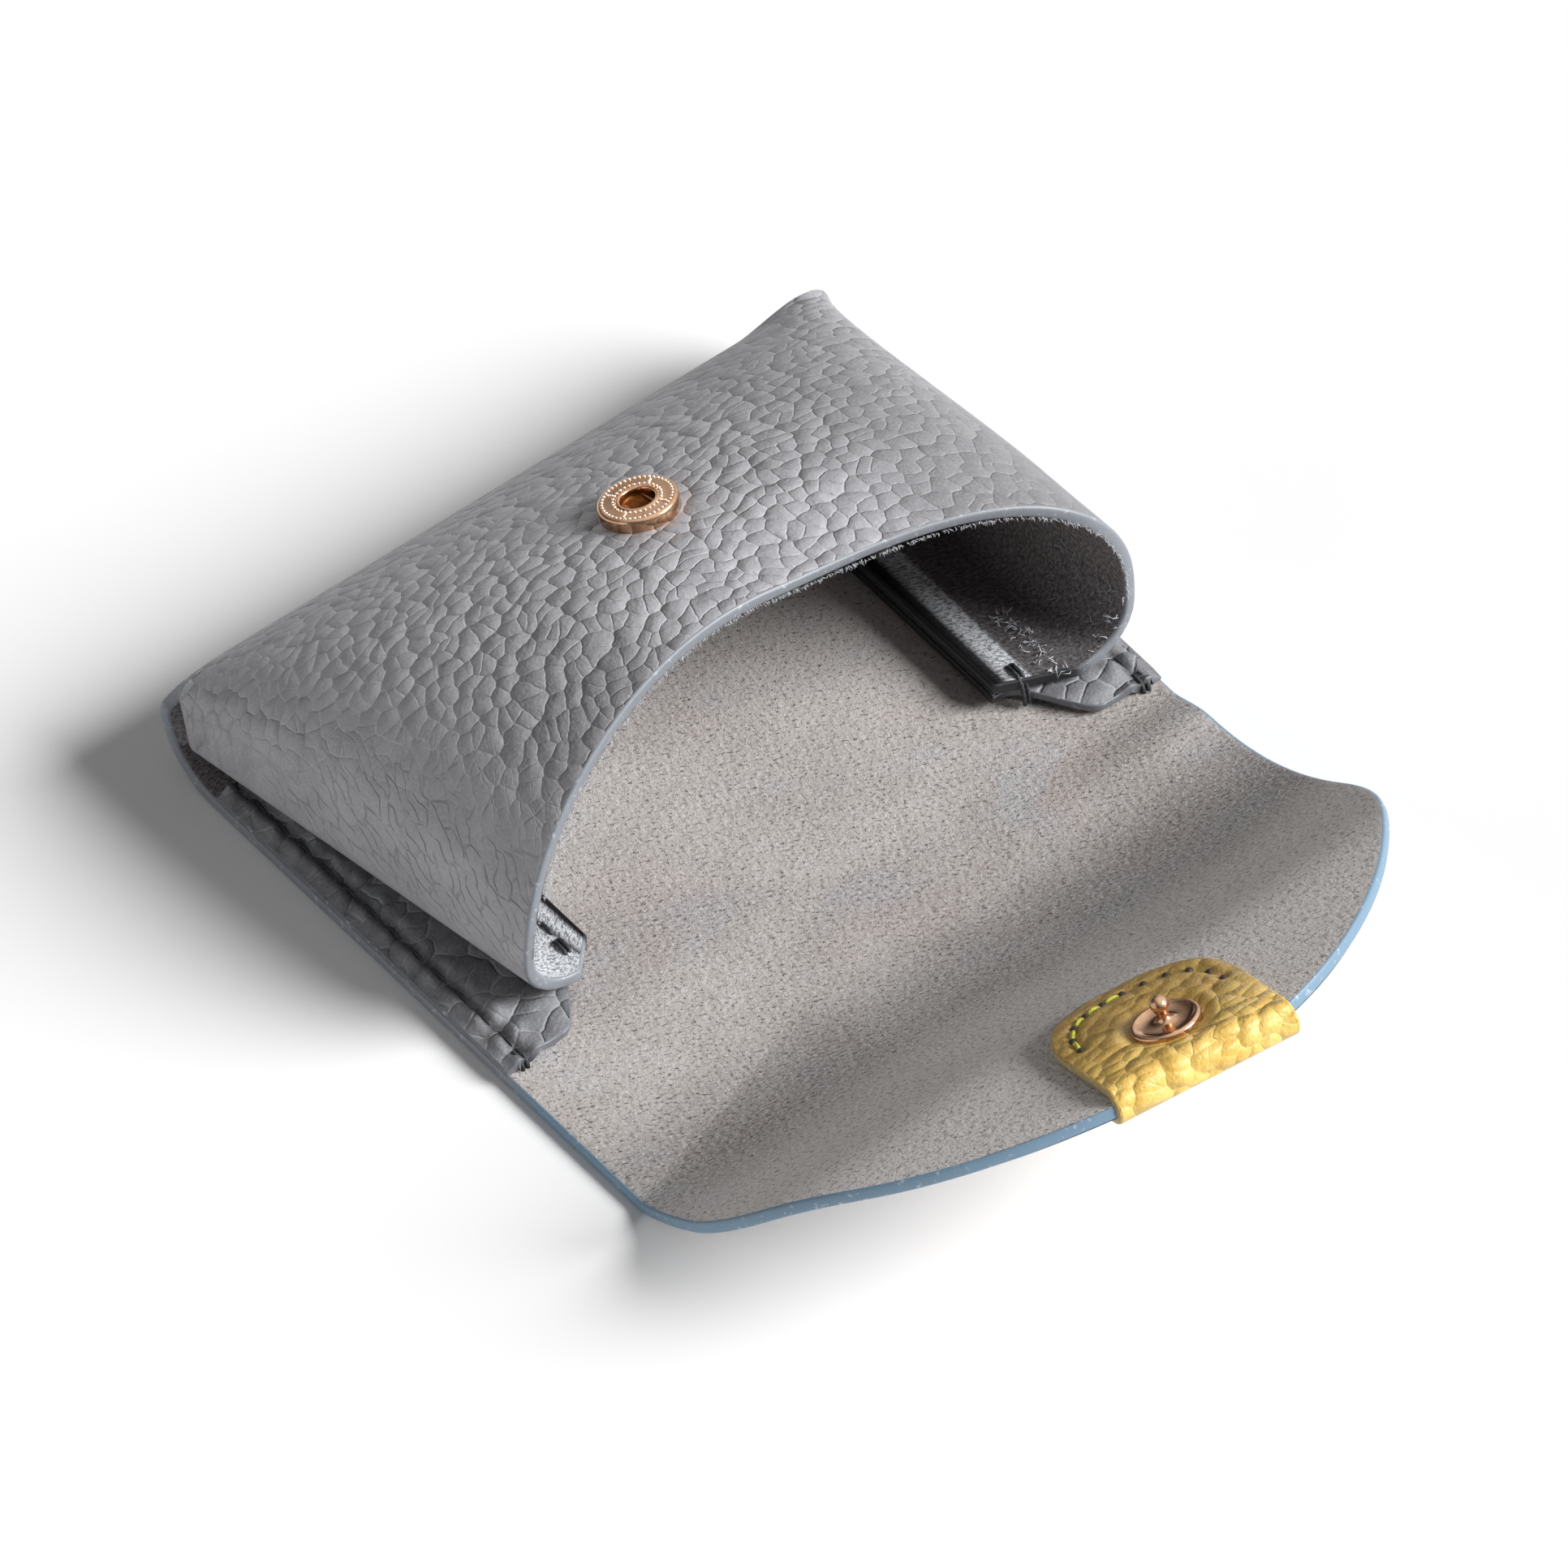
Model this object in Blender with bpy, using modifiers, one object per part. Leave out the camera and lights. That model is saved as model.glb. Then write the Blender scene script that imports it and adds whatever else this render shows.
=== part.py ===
"""An open leather card wallet lying on its back, built piece by piece.

Metres, +Z up.  X runs across the wallet, to the right as seen from its mouth.  Y runs from the mouth
to the bottom fold, and the flap lies towards -Y.  The origin is on the underside of the back panel,
midway across, at the mouth ends of the gusset strips.
"""
import math
from functools import lru_cache

import bmesh
import bpy
from mathutils import Matrix, Vector

# Leather, and the clearance between pieces that touch
WIDTH = 0.108
LEATHER = 0.0018
GUSSET_LEATHER = 0.0013
TAB_LEATHER = 0.0012
GAP = 0.0003
HALF_TURN = math.pi
QUARTER_TURN = math.pi / 2

# Back panel, and the fold where it turns up into the front
BACK_FLAT = 0.0607
FOLD_DEPTH = 0.0110
FOLD_HEIGHT = 0.0107
FOLD_TOP_ANGLE = math.radians(18)
FOLD_TOP_GAP = 0.0007

# Front panel: its crown line from the fold to the lip, seen from the side
POUCH_HEIGHT = 0.0397
CROWN_Y = 0.0280
LIP_Y = 0.0165
CROWN_POWER = 1.5
CURVED_LENGTH_SHARE = 0.80

# Front panel: its section across, at the fold and at the mouth
FAR_INSET = 0.0002
MOUTH_INSET = 0.0037
MOUTH_SHIFT = 0.0032
LEAN = 0.0115
LEAN_POWER = 4.0
FAR_WALL_Y = 0.0640
MOUTH_WALL_Y = 0.0047
FAR_TURN_RADIUS = 0.0030
MOUTH_TURN_RADIUS = 0.0090
FAR_SECTION_POWER = 9.0
LEFT_MOUTH_POWER = 2.4
RIGHT_MOUTH_POWER = 2.9
SCOOP_POWER = 2.2
FAR_EDGE_POWER = 6.0
SECTION_BLEND_POWER = 0.6
FLANGE_MOUTH_SLANT = 0.0045

# Gusset strips, sewn to the back's side edges and to the front's turned-under flanges
GUSSET_WIDTH = 0.0205
GUSSET_LENGTH = 0.0600
GUSSET_RISE = 0.0012
GUSSET_SQUARE_END = 0.0100
GUSSET_SLANT_LENGTH = 0.0090
GUSSET_INNER_CORNER = 0.0020

# Flap, measured along its suede side from its hinge
HINGE_Y = -0.0020
FLAP_LENGTH = 0.0853
FLAP_STRAIGHT = 0.0380
FLAP_ROUND_POWER = 1.85
FLAP_TIP_ANGLE = math.radians(88)
BEND_DISTANCE = 0.0500
CURL_START = 0.0100
CURL_END = 0.0500
CURL_ANGLE = math.radians(42)
RELIEF_START = 0.0500
RELIEF_END = 0.0660
RELIEF_ANGLE = math.radians(16)

# The flap's sides before its bend: the right one stands above the even curl, the left one below it
TWIST = 0.0040
TWIST_POWER = 1.3
TWIST_INSET = 0.0004
TWIST_EDGE_LENGTH = 0.0080
TWIST_LENGTH = 0.0400
TWIST_END = 0.0455
TWIST_FADE_LENGTH = 0.0120

# Tab folded round the flap's tip
TAB_WIDTH = 0.0282
TAB_REACH = 0.0155
TAB_ROUND_DEPTH = 0.0115
TAB_ROUND_POWER = 2.3

# Stitches
THREAD = 0.0007
OUTER_SEAM_INSET = 0.0030
INNER_SEAM_INSET = 0.0035
BODY_STITCH_PITCH = 0.0046
TAB_SEAM_INSET = 0.0022
TAB_STITCH_PITCH = 0.0030
SEAM_END_MARGIN = 0.0020
HOLE_SHARE = 0.4
STITCH_RISE_SHARE = 0.22

# Snap socket on the front, and the rivet behind it
SOCKET_Y = 0.0395
SOCKET_RADIUS = 0.0054
SOCKET_HEIGHT = 0.0022
SOCKET_BORE_RADIUS = 0.0025
SOCKET_CUP_DEPTH = 0.0009
SOCKET_WALL = 0.0005
SOCKET_EDGE_ROUND = 0.0003
SPRING_RADIUS = 0.0002
SPRING_OFFSET = 0.0016
SPRING_DEPTH = 0.0005
RIVET_RADIUS = 0.0045
RIVET_HEAD = 0.0009
RIVET_RIM = 0.0003
RIVET_CROWN_RADIUS = 0.0036
RIVET_CROWN = 0.00075
RIVET_SHANK_RADIUS = 0.0014

# Snap stud on the tab, and the rivet cap on the tab's outside
STUD_DISTANCE = 0.0750
STUD_RADIUS = 0.0045
STUD_BASE = 0.0005
STUD_RIM = 0.0001
STUD_RIM_WIDTH = 0.0005
STUD_NECK_RADIUS = 0.0008
STUD_BALL_RADIUS = 0.00125
STUD_BALL_HEIGHT = 0.0029

# Mesh detail
SHEET_COLUMNS = 18
FLAT_ROWS = 6
FOLD_ROWS = 9
FOLD_TOP_ROWS = 4
FRONT_ROWS = 15
ARCH_COLUMNS = 11
TURN_COLUMNS = 4
FLANGE_COLUMNS = 2
FLAP_ROWS = 12
TIP_ROWS = 12
TAB_COLUMNS = 12
LEAF_ROWS = 5
ROLL_ROWS = 6
ROUND_STEPS = 32
BALL_STEPS = 8
CURVE_SAMPLES = 160
PROFILE_STEPS = 60
SEARCH_STEPS = 40
CUT_OVERRUN = 0.0020

# Sizes that follow from the ones above
GUSSET_SEAT = LEATHER + GAP
FLANGE_HEIGHT = GUSSET_SEAT + GUSSET_RISE + GUSSET_LEATHER + GAP
SEAM_X = WIDTH / 2 - GUSSET_WIDTH
TAB_START = STUD_DISTANCE - TAB_REACH
TAB_SHOULDER = TAB_START + TAB_ROUND_DEPTH
TAB_TOP = GAP + TAB_LEATHER
TAB_BOTTOM = -(LEATHER + GAP + TAB_LEATHER)
ROLL_RADIUS = LEATHER / 2 + GAP + TAB_LEATHER
SHANK_HOLE_RADIUS = RIVET_SHANK_RADIUS + GAP
CUP_RADIUS = SOCKET_BORE_RADIUS + SOCKET_WALL
CUP_BOTTOM = -(SOCKET_CUP_DEPTH + SOCKET_WALL)

GREY = (0.235, 0.235, 0.245, 1)
SUEDE = (0.42, 0.38, 0.35, 1)
DARK_THREAD = (0.03, 0.03, 0.035, 1)
YELLOW = (0.68, 0.40, 0.03, 1)
OLIVE_THREAD = (0.35, 0.33, 0.03, 1)
ROSE_GOLD = (0.80, 0.48, 0.33, 1)


def lerp(start, end, share):
    """The value a share of the way from start to end."""
    return start + (end - start) * share


def clamp_share(value):
    """The value held between nothing and the whole."""
    return min(max(value, 0.0), 1.0)


def smooth(share):
    """A share eased at both ends."""
    share = clamp_share(share)
    return share * share * (3 - 2 * share)


def remove_everything():
    """Clears the scene's objects."""
    for obj in list(bpy.data.objects):
        bpy.data.objects.remove(obj)


def make_collection(name):
    collection = bpy.data.collections.new(name)
    bpy.context.scene.collection.children.link(collection)
    return collection


def make_material(name, colour, roughness, metallic=0.0):
    material = bpy.data.materials.new(name)
    material.use_nodes = True
    shader = material.node_tree.nodes["Principled BSDF"]
    shader.inputs["Base Color"].default_value = colour
    shader.inputs["Roughness"].default_value = roughness
    shader.inputs["Metallic"].default_value = metallic
    return material


def add_mesh(name, bm, material, collection, matrix=None):
    """Turns a bmesh into a named object with one material."""
    mesh = bpy.data.meshes.new(name)
    bm.to_mesh(mesh)
    bm.free()
    mesh.materials.append(material)
    mesh.shade_smooth()
    obj = bpy.data.objects.new(name, mesh)
    if matrix is not None:
        obj.matrix_world = matrix
    collection.objects.link(obj)
    return obj


def make_sheet(name, columns, rows, place, thickness, material, collection):
    """A leather sheet: a flat grid bent by place(across, along), thickened on its faces' front side.

    Both arguments of place run from -1 to 1.
    """
    bm = bmesh.new()
    bmesh.ops.create_grid(bm, x_segments=columns, y_segments=rows, size=1)
    for vert in bm.verts:
        vert.co = place(vert.co.x, vert.co.y)
    obj = add_mesh(name, bm, material, collection)
    shell = obj.modifiers.new("thickness", "SOLIDIFY")
    shell.thickness = thickness
    shell.offset = 1
    shell.use_even_offset = True
    return obj


def turned(name, profile, material, collection, matrix):
    """A solid of revolution: a profile of (radius, height) points, top to bottom, turned about Z."""
    bm = bmesh.new()
    verts = [bm.verts.new((radius, 0, height)) for radius, height in profile]
    for first, second in zip(verts, verts[1:]):
        bm.edges.new((first, second))
    obj = add_mesh(name, bm, material, collection, matrix)
    screw = obj.modifiers.new("turn", "SCREW")
    screw.steps = ROUND_STEPS
    screw.render_steps = ROUND_STEPS
    screw.use_merge_vertices = True
    screw.merge_threshold = GAP / 10
    screw.use_smooth_shade = True
    return obj


def cut(obj, cutter):
    boolean = obj.modifiers.new("cut " + cutter.name, "BOOLEAN")
    boolean.operation = "DIFFERENCE"
    boolean.solver = "EXACT"
    boolean.object = cutter


def make_cutter(name, radius, bottom, top, collection, matrix):
    """A round cutter about the local Z axis, kept out of the model."""
    bm = bmesh.new()
    middle = Matrix.Translation((0, 0, (bottom + top) / 2))
    bmesh.ops.create_cone(bm, cap_ends=True, segments=ROUND_STEPS, radius1=radius, radius2=radius,
                          depth=top - bottom, matrix=middle)
    mesh = bpy.data.meshes.new(name)
    bm.to_mesh(mesh)
    bm.free()
    obj = bpy.data.objects.new(name, mesh)
    obj.matrix_world = matrix
    obj.hide_render = True
    obj.display_type = "WIRE"
    collection.objects.link(obj)
    return obj


def make_pivot(name, place, collection, parent=None):
    """An empty on a bend line, which carries the pieces that turn about it."""
    pivot = bpy.data.objects.new(name, None)
    collection.objects.link(pivot)
    if parent is not None:
        pivot.parent = parent
        place = place - parent.location
    pivot.location = place
    return pivot


def carry(pivot, place, pieces):
    """Parents the pieces to a pivot at this place, leaving them where they are."""
    for piece in pieces:
        piece.parent = pivot
        piece.matrix_parent_inverse = Matrix.Translation(-place)


# The wallet's crown line: up round the bottom fold and over to the lip

def fold_point(angle):
    """The grain side at the lower fold; the angle runs from a quarter turn down (0 is outermost)."""
    y = BACK_FLAT + FOLD_DEPTH * math.cos(angle)
    z = FOLD_HEIGHT + FOLD_HEIGHT * math.sin(angle)
    return y, z


def crown_curve(angle):
    """The grain side above the fold's outermost point, up to the crown."""
    reach = BACK_FLAT + FOLD_DEPTH - CROWN_Y
    rise = POUCH_HEIGHT - FOLD_HEIGHT
    y = CROWN_Y + reach * max(math.cos(angle), 0.0) ** (2 / CROWN_POWER)
    z = FOLD_HEIGHT + rise * math.sin(angle) ** (2 / CROWN_POWER)
    return y, z


def crown_line(share):
    """The front's crown line, from the top of the fold (0) to the lip (1)."""
    if share < CURVED_LENGTH_SHARE:
        return crown_curve(lerp(FOLD_TOP_ANGLE, QUARTER_TURN, share / CURVED_LENGTH_SHARE))
    flat = (share - CURVED_LENGTH_SHARE) / (1 - CURVED_LENGTH_SHARE)
    return lerp(CROWN_Y, LIP_Y, flat), POUCH_HEIGHT


def evenly(points, count):
    """Points spaced evenly along a polyline, its two ends included."""
    lengths = [0.0]
    for first, second in zip(points, points[1:]):
        lengths.append(lengths[-1] + math.dist(first, second))
    spaced = []
    index = 0
    for step in range(count + 1):
        wanted = lengths[-1] * step / count
        while index < len(points) - 2 and lengths[index + 1] < wanted:
            index += 1
        stretch = lengths[index + 1] - lengths[index]
        share = (wanted - lengths[index]) / stretch
        first, second = points[index], points[index + 1]
        spaced.append(tuple(lerp(a, b, share) for a, b in zip(first, second)))
    return spaced


def half_section(share, side):
    """One side of the front's section: (x, y, z) from the crown down the wall to the flange's edge."""
    crown_y, crown_z = crown_line(share)
    progress = (crown_line(0)[0] - crown_y) / (crown_line(0)[0] - LIP_Y)
    half_width = WIDTH / 2 - lerp(FAR_INSET, MOUTH_INSET, progress)
    middle = MOUTH_SHIFT * progress
    turn = lerp(FAR_TURN_RADIUS, MOUTH_TURN_RADIUS, progress)
    wall_y = lerp(FAR_WALL_Y, MOUTH_WALL_Y, progress)
    mouth_power = RIGHT_MOUTH_POWER if side > 0 else LEFT_MOUTH_POWER
    blend = progress ** SECTION_BLEND_POWER
    power = 1 / lerp(1 / FAR_SECTION_POWER, 1 / mouth_power, blend)
    wall_foot = FLANGE_HEIGHT + turn
    arch = []
    for step in range(CURVE_SAMPLES + 1):
        angle = QUARTER_TURN * (1 - step / CURVE_SAMPLES)
        out = max(math.cos(angle), 0.0) ** (2 / power)
        up = max(math.sin(angle), 0.0) ** (2 / power)
        height_share = (wall_foot + (crown_z - wall_foot) * up - FLANGE_HEIGHT) / (crown_z - FLANGE_HEIGHT)
        far_rise = height_share ** FAR_EDGE_POWER
        mouth_rise = 1 - out ** SCOOP_POWER
        y = lerp(wall_y, crown_y, lerp(far_rise, mouth_rise, progress))
        lean = side * LEAN * progress ** LEAN_POWER * out * (1 - out) ** 2
        z = wall_foot + (crown_z - wall_foot) * up - lean
        arch.append((middle + side * half_width * out, y, z))
    section = evenly(arch, ARCH_COLUMNS)
    foot_y = section[-1][1]
    for step in range(1, TURN_COLUMNS + 1):
        angle = QUARTER_TURN * step / TURN_COLUMNS
        x = middle + side * (half_width - turn * (1 - math.cos(angle)))
        section.append((x, lerp(foot_y, wall_y, step / TURN_COLUMNS), wall_foot - turn * math.sin(angle)))
    turn_x = section[-1][0]
    for step in range(1, FLANGE_COLUMNS + 1):
        along = step / FLANGE_COLUMNS
        x = lerp(turn_x, side * SEAM_X, along)
        section.append((x, wall_y + FLANGE_MOUTH_SLANT * along * progress, FLANGE_HEIGHT))
    return section


def back_line():
    """The back's grain side from the mouth to the top of the fold, as (y, z) points."""
    line = []
    for row in range(FLAT_ROWS):
        line.append((lerp(HINGE_Y + GAP / 2, BACK_FLAT, row / FLAT_ROWS), 0.0))
    for row in range(FOLD_ROWS):
        line.append(fold_point(-QUARTER_TURN * (1 - row / FOLD_ROWS)))
    step = FOLD_TOP_ANGLE / CURVE_SAMPLES
    stretch = math.dist(crown_curve(FOLD_TOP_ANGLE), crown_curve(FOLD_TOP_ANGLE - step))
    top = FOLD_TOP_ANGLE - step * FOLD_TOP_GAP / stretch
    for row in range(FOLD_TOP_ROWS + 1):
        line.append(crown_curve(top * row / FOLD_TOP_ROWS))
    return line


def make_back(material, collection):
    """The back panel: flat under the pouch, then up round the bottom fold."""
    line = back_line()
    rows = len(line) - 1

    def place(across, along):
        return Vector((across * WIDTH / 2, *line[round((along + 1) / 2 * rows)]))

    return make_sheet("back_panel", SHEET_COLUMNS, rows, place, LEATHER, material, collection)


def make_front(material, collection):
    """The front panel: a vault with side walls that turn under into flanges."""
    halves = {}
    for row in range(FRONT_ROWS + 1):
        share = row / FRONT_ROWS
        left = half_section(share, -1)
        right = half_section(share, 1)
        halves[row] = left[:0:-1] + right
    columns = len(halves[0]) - 1

    def place(across, along):
        column = round((across + 1) / 2 * columns)
        row = round((along + 1) / 2 * FRONT_ROWS)
        return Vector(halves[row][column])

    return make_sheet("front_panel", columns, FRONT_ROWS, place, LEATHER, material, collection)


@lru_cache(maxsize=None)
def front_crown_at(y):
    """The share along the crown line at which it passes y."""
    low, high = 0.0, 1.0
    for _ in range(SEARCH_STEPS):
        middle = (low + high) / 2
        if crown_line(middle)[0] > y:
            low = middle
        else:
            high = middle
    return (low + high) / 2


def front_surface(x, y):
    """The height of the front's grain side over x and y, near the crown line."""
    share = front_crown_at(y)
    points = half_section(share, -1)[:0:-1] + half_section(share, 1)
    over = [pair for pair in zip(points, points[1:]) if pair[0][0] <= x <= pair[1][0]]
    first, second = max(over, key=lambda pair: pair[0][2])
    return lerp(first[2], second[2], (x - first[0]) / (second[0] - first[0]))


def socket_frame():
    """The socket's place: origin just above the front's grain side, Z along its normal."""
    step = SOCKET_RADIUS / 2
    height = front_surface(0, SOCKET_Y)
    slope_x = (front_surface(step, SOCKET_Y) - front_surface(-step, SOCKET_Y)) / (2 * step)
    slope_y = (front_surface(0, SOCKET_Y + step) - front_surface(0, SOCKET_Y - step)) / (2 * step)
    normal = Vector((-slope_x, -slope_y, 1)).normalized()
    origin = Vector((0, SOCKET_Y, height)) + normal * GAP
    return frame_at(origin, normal)


def frame_at(origin, normal):
    """A matrix with its Z axis along normal and its X axis as near the wallet's as it can be."""
    side = (Vector((1, 0, 0)) - normal * normal.x).normalized()
    forward = normal.cross(side)
    turn = Matrix((side, forward, normal)).transposed().to_4x4()
    return Matrix.Translation(origin) @ turn


# The flap

def flap_slope(distance):
    """How far the flap has curled up from the table at a distance from its hinge."""
    curl = math.sin(QUARTER_TURN * clamp_share((distance - CURL_START) / (CURL_END - CURL_START)))
    relief = smooth((distance - RELIEF_START) / (RELIEF_END - RELIEF_START))
    return CURL_ANGLE * curl - RELIEF_ANGLE * relief


@lru_cache(maxsize=None)
def flap_profile(distance):
    """How far out and up the flap's suede side is at a distance from its hinge."""
    step = distance / PROFILE_STEPS
    out = 0.0
    up = 0.0
    for index in range(PROFILE_STEPS):
        slope = flap_slope((index + 0.5) * step)
        out += math.cos(slope) * step
        up += math.sin(slope) * step
    return out, up


def flap_point(x, distance, height):
    """A point over the flap: across, along the leather from its hinge, and above its suede side."""
    out, up = flap_profile(distance)
    slope = flap_slope(distance)
    y = HINGE_Y - out + height * math.sin(slope)
    z = LEATHER + up + height * math.cos(slope)
    return Vector((x, y, z))


def twisted_point(x, distance):
    """A point on the flap's suede side before its bend, with the twist, which ends short of the bend line."""
    free = TAB_WIDTH / 2 + TWIST_INSET
    across = max(abs(x) - free, 0.0) / (WIDTH / 2 - free)
    along = (smooth(distance / TWIST_EDGE_LENGTH) + smooth(distance / TWIST_LENGTH)) / 2
    fade = smooth((TWIST_END - distance) / TWIST_FADE_LENGTH)
    point = flap_point(x, distance, 0)
    point.z += math.copysign(TWIST * across ** TWIST_POWER * along * fade, x)
    point.z = max(point.z, LEATHER)
    return point


def flap_outline(angle):
    """The flap's rounded end: half width and distance from the hinge, from its sides (0) to its tip."""
    half_width = WIDTH / 2 * math.cos(angle) ** (2 / FLAP_ROUND_POWER)
    distance = FLAP_STRAIGHT + (FLAP_LENGTH - FLAP_STRAIGHT) * math.sin(angle) ** (2 / FLAP_ROUND_POWER)
    return half_width, distance


def outline_angle(distance):
    """The outline's angle at a distance from the hinge."""
    share = clamp_share((distance - FLAP_STRAIGHT) / (FLAP_LENGTH - FLAP_STRAIGHT))
    return math.asin(share ** (FLAP_ROUND_POWER / 2))


def make_flap(material, collection):
    """The flap up to the line where it bends over the mouth."""
    def place(across, along):
        distance = lerp(GAP / 2, BEND_DISTANCE - GAP / 2, (along + 1) / 2)
        half_width = flap_outline(outline_angle(distance))[0]
        return twisted_point(across * half_width, distance)

    return make_sheet("flap_panel", SHEET_COLUMNS, FLAP_ROWS, place, LEATHER, material, collection)


def make_flap_tip(material, collection):
    """The flap's rounded end, past its bend line."""
    start = outline_angle(BEND_DISTANCE + GAP / 2)

    def place(across, along):
        half_width, distance = flap_outline(lerp(start, FLAP_TIP_ANGLE, (along + 1) / 2))
        return flap_point(across * half_width, distance, 0)

    return make_sheet("flap_tip", SHEET_COLUMNS, TIP_ROWS, place, LEATHER, material, collection)


def leaf_start(x):
    """Where the tab's half-round end begins, at x."""
    out = clamp_share(abs(x) / (TAB_WIDTH / 2)) ** TAB_ROUND_POWER
    return TAB_SHOULDER - (TAB_SHOULDER - TAB_START) * (1 - out) ** (1 / TAB_ROUND_POWER)


def make_tab(material, collection):
    """The tab: a strap folded round the flap's tip, half-round at both ends."""
    rows = 2 * LEAF_ROWS + ROLL_ROWS

    def place(across, along):
        x = math.sin(across * QUARTER_TURN) * TAB_WIDTH / 2
        row = round((along + 1) / 2 * rows)
        if row <= LEAF_ROWS:
            return flap_point(x, lerp(leaf_start(x), FLAP_LENGTH, row / LEAF_ROWS), TAB_TOP)
        if row < LEAF_ROWS + ROLL_ROWS:
            angle = HALF_TURN * (row - LEAF_ROWS) / ROLL_ROWS
            distance = FLAP_LENGTH + ROLL_RADIUS * math.sin(angle)
            return flap_point(x, distance, -LEATHER / 2 + ROLL_RADIUS * math.cos(angle))
        share = (row - LEAF_ROWS - ROLL_ROWS) / LEAF_ROWS
        return flap_point(x, lerp(FLAP_LENGTH, leaf_start(x), share), TAB_BOTTOM)

    return make_sheet("flap_tab", TAB_COLUMNS, rows, place, TAB_LEATHER, material, collection)


def stud_frame(height):
    """The stud's place at a height over the flap's suede side, Z along its normal."""
    slope = flap_slope(STUD_DISTANCE)
    normal = Vector((0, math.sin(slope), math.cos(slope)))
    return frame_at(flap_point(0, STUD_DISTANCE, height), normal)


# Gusset strips

def make_gusset(name, side, material, collection):
    """A gusset strip: its outer edge on the back's edge, its inner edge raised to meet the flange."""
    outer = WIDTH / 2
    inner = SEAM_X
    outline = [
        (outer, 0),
        (outer, GUSSET_LENGTH),
        (inner, GUSSET_LENGTH),
        (inner, GUSSET_SLANT_LENGTH),
        (inner + GUSSET_INNER_CORNER, GUSSET_SLANT_LENGTH),
        (outer - GUSSET_SQUARE_END, 0),
    ]
    curve = bpy.data.curves.new(name, "CURVE")
    curve.dimensions = "2D"
    curve.fill_mode = "BOTH"
    curve.extrude = GUSSET_LEATHER / 2
    spline = curve.splines.new("POLY")
    spline.points.add(len(outline) - 1)
    spline.use_cyclic_u = True
    for point, (x, y) in zip(spline.points, outline):
        point.co = (side * (x - outer), y, 0, 1)
    curve.materials.append(material)
    strip = bpy.data.objects.new(name, curve)
    tilt = math.asin(GUSSET_RISE / GUSSET_WIDTH)
    strip.location = (side * outer, 0, GUSSET_SEAT + GUSSET_LEATHER / 2)
    strip.rotation_euler = (0, side * tilt, 0)
    collection.objects.link(strip)
    return strip


def gusset_top(x):
    """The height of a strip's grain side at a distance x from the wallet's middle."""
    tilt = math.asin(GUSSET_RISE / GUSSET_WIDTH)
    rise = (WIDTH / 2 - x) * math.tan(tilt)
    return GUSSET_SEAT + GUSSET_LEATHER / 2 + rise + GUSSET_LEATHER / 2 / math.cos(tilt)


# Stitches

def make_thread(name, count, surface, material, collection):
    """One seam's thread: an unbroken tube along surface(share), drawn in thin at each needle hole.

    surface gives a point on the leather and the leather's normal there.
    """
    curve = bpy.data.curves.new(name, "CURVE")
    curve.dimensions = "3D"
    curve.bevel_depth = THREAD / 2
    curve.bevel_resolution = 1
    curve.use_fill_caps = True
    spline = curve.splines.new("POLY")
    stations = []
    for index in range(count):
        stations += [(index, HOLE_SHARE), (index + STITCH_RISE_SHARE, 1.0)]
        stations += [(index + 1 - STITCH_RISE_SHARE, 1.0)]
    stations.append((count, HOLE_SHARE))
    spline.points.add(len(stations) - 1)
    for point, (station, radius) in zip(spline.points, stations):
        place, normal = surface(station / count)
        centre = place + normal * (GAP + radius * THREAD / 2)
        point.co = (*centre, 1)
        point.radius = radius
    curve.materials.append(material)
    thread = bpy.data.objects.new(name, curve)
    collection.objects.link(thread)
    return thread


def make_outer_seam(name, side, material, collection):
    """The thread along a strip's outer edge, through the strip and the back."""
    x = WIDTH / 2 - OUTER_SEAM_INSET
    start = SEAM_END_MARGIN
    length = GUSSET_LENGTH - 2 * SEAM_END_MARGIN

    def surface(share):
        return Vector((side * x, start + length * share, gusset_top(x))), Vector((0, 0, 1))

    return make_thread(name, int(length / BODY_STITCH_PITCH), surface, material, collection)


def make_inner_seam(name, side, material, collection):
    """The thread along a flange's edge, on the pouch's inside."""
    x = SEAM_X + INNER_SEAM_INSET
    start = GUSSET_SLANT_LENGTH + SEAM_END_MARGIN
    length = GUSSET_LENGTH - SEAM_END_MARGIN - start
    top = FLANGE_HEIGHT + LEATHER

    def surface(share):
        return Vector((side * x, start + length * share, top)), Vector((0, 0, 1))

    return make_thread(name, int(length / BODY_STITCH_PITCH), surface, material, collection)


def tab_seam_path():
    """The line of the tab's seam, inside its half-round edge: (x, distance from the flap's hinge)."""
    half = TAB_WIDTH / 2 - TAB_SEAM_INSET
    start = TAB_START + TAB_SEAM_INSET
    end = FLAP_LENGTH - SEAM_END_MARGIN
    path = [(-half, end)]
    for step in range(CURVE_SAMPLES + 1):
        angle = HALF_TURN * step / CURVE_SAMPLES
        across = math.copysign(abs(math.cos(angle)) ** (2 / TAB_ROUND_POWER), math.cos(angle))
        along = max(math.sin(angle), 0.0) ** (2 / TAB_ROUND_POWER)
        path.append((-half * across, TAB_SHOULDER - (TAB_SHOULDER - start) * along))
    path.append((half, end))
    return path


def make_tab_seam(name, height, facing, material, collection):
    """The thread round the tab's half-round edge, on the leaf at this height."""
    path = tab_seam_path()
    length = sum(math.dist(first, second) for first, second in zip(path, path[1:]))
    count = int(length / TAB_STITCH_PITCH)
    line = evenly(path, CURVE_SAMPLES)

    def surface(share):
        x, distance = line[round(share * CURVE_SAMPLES)]
        slope = flap_slope(distance)
        normal = Vector((0, math.sin(slope), math.cos(slope))) * facing
        return flap_point(x, distance, height), normal

    return make_thread(name, count, surface, material, collection)


# Snap fastener

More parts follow.
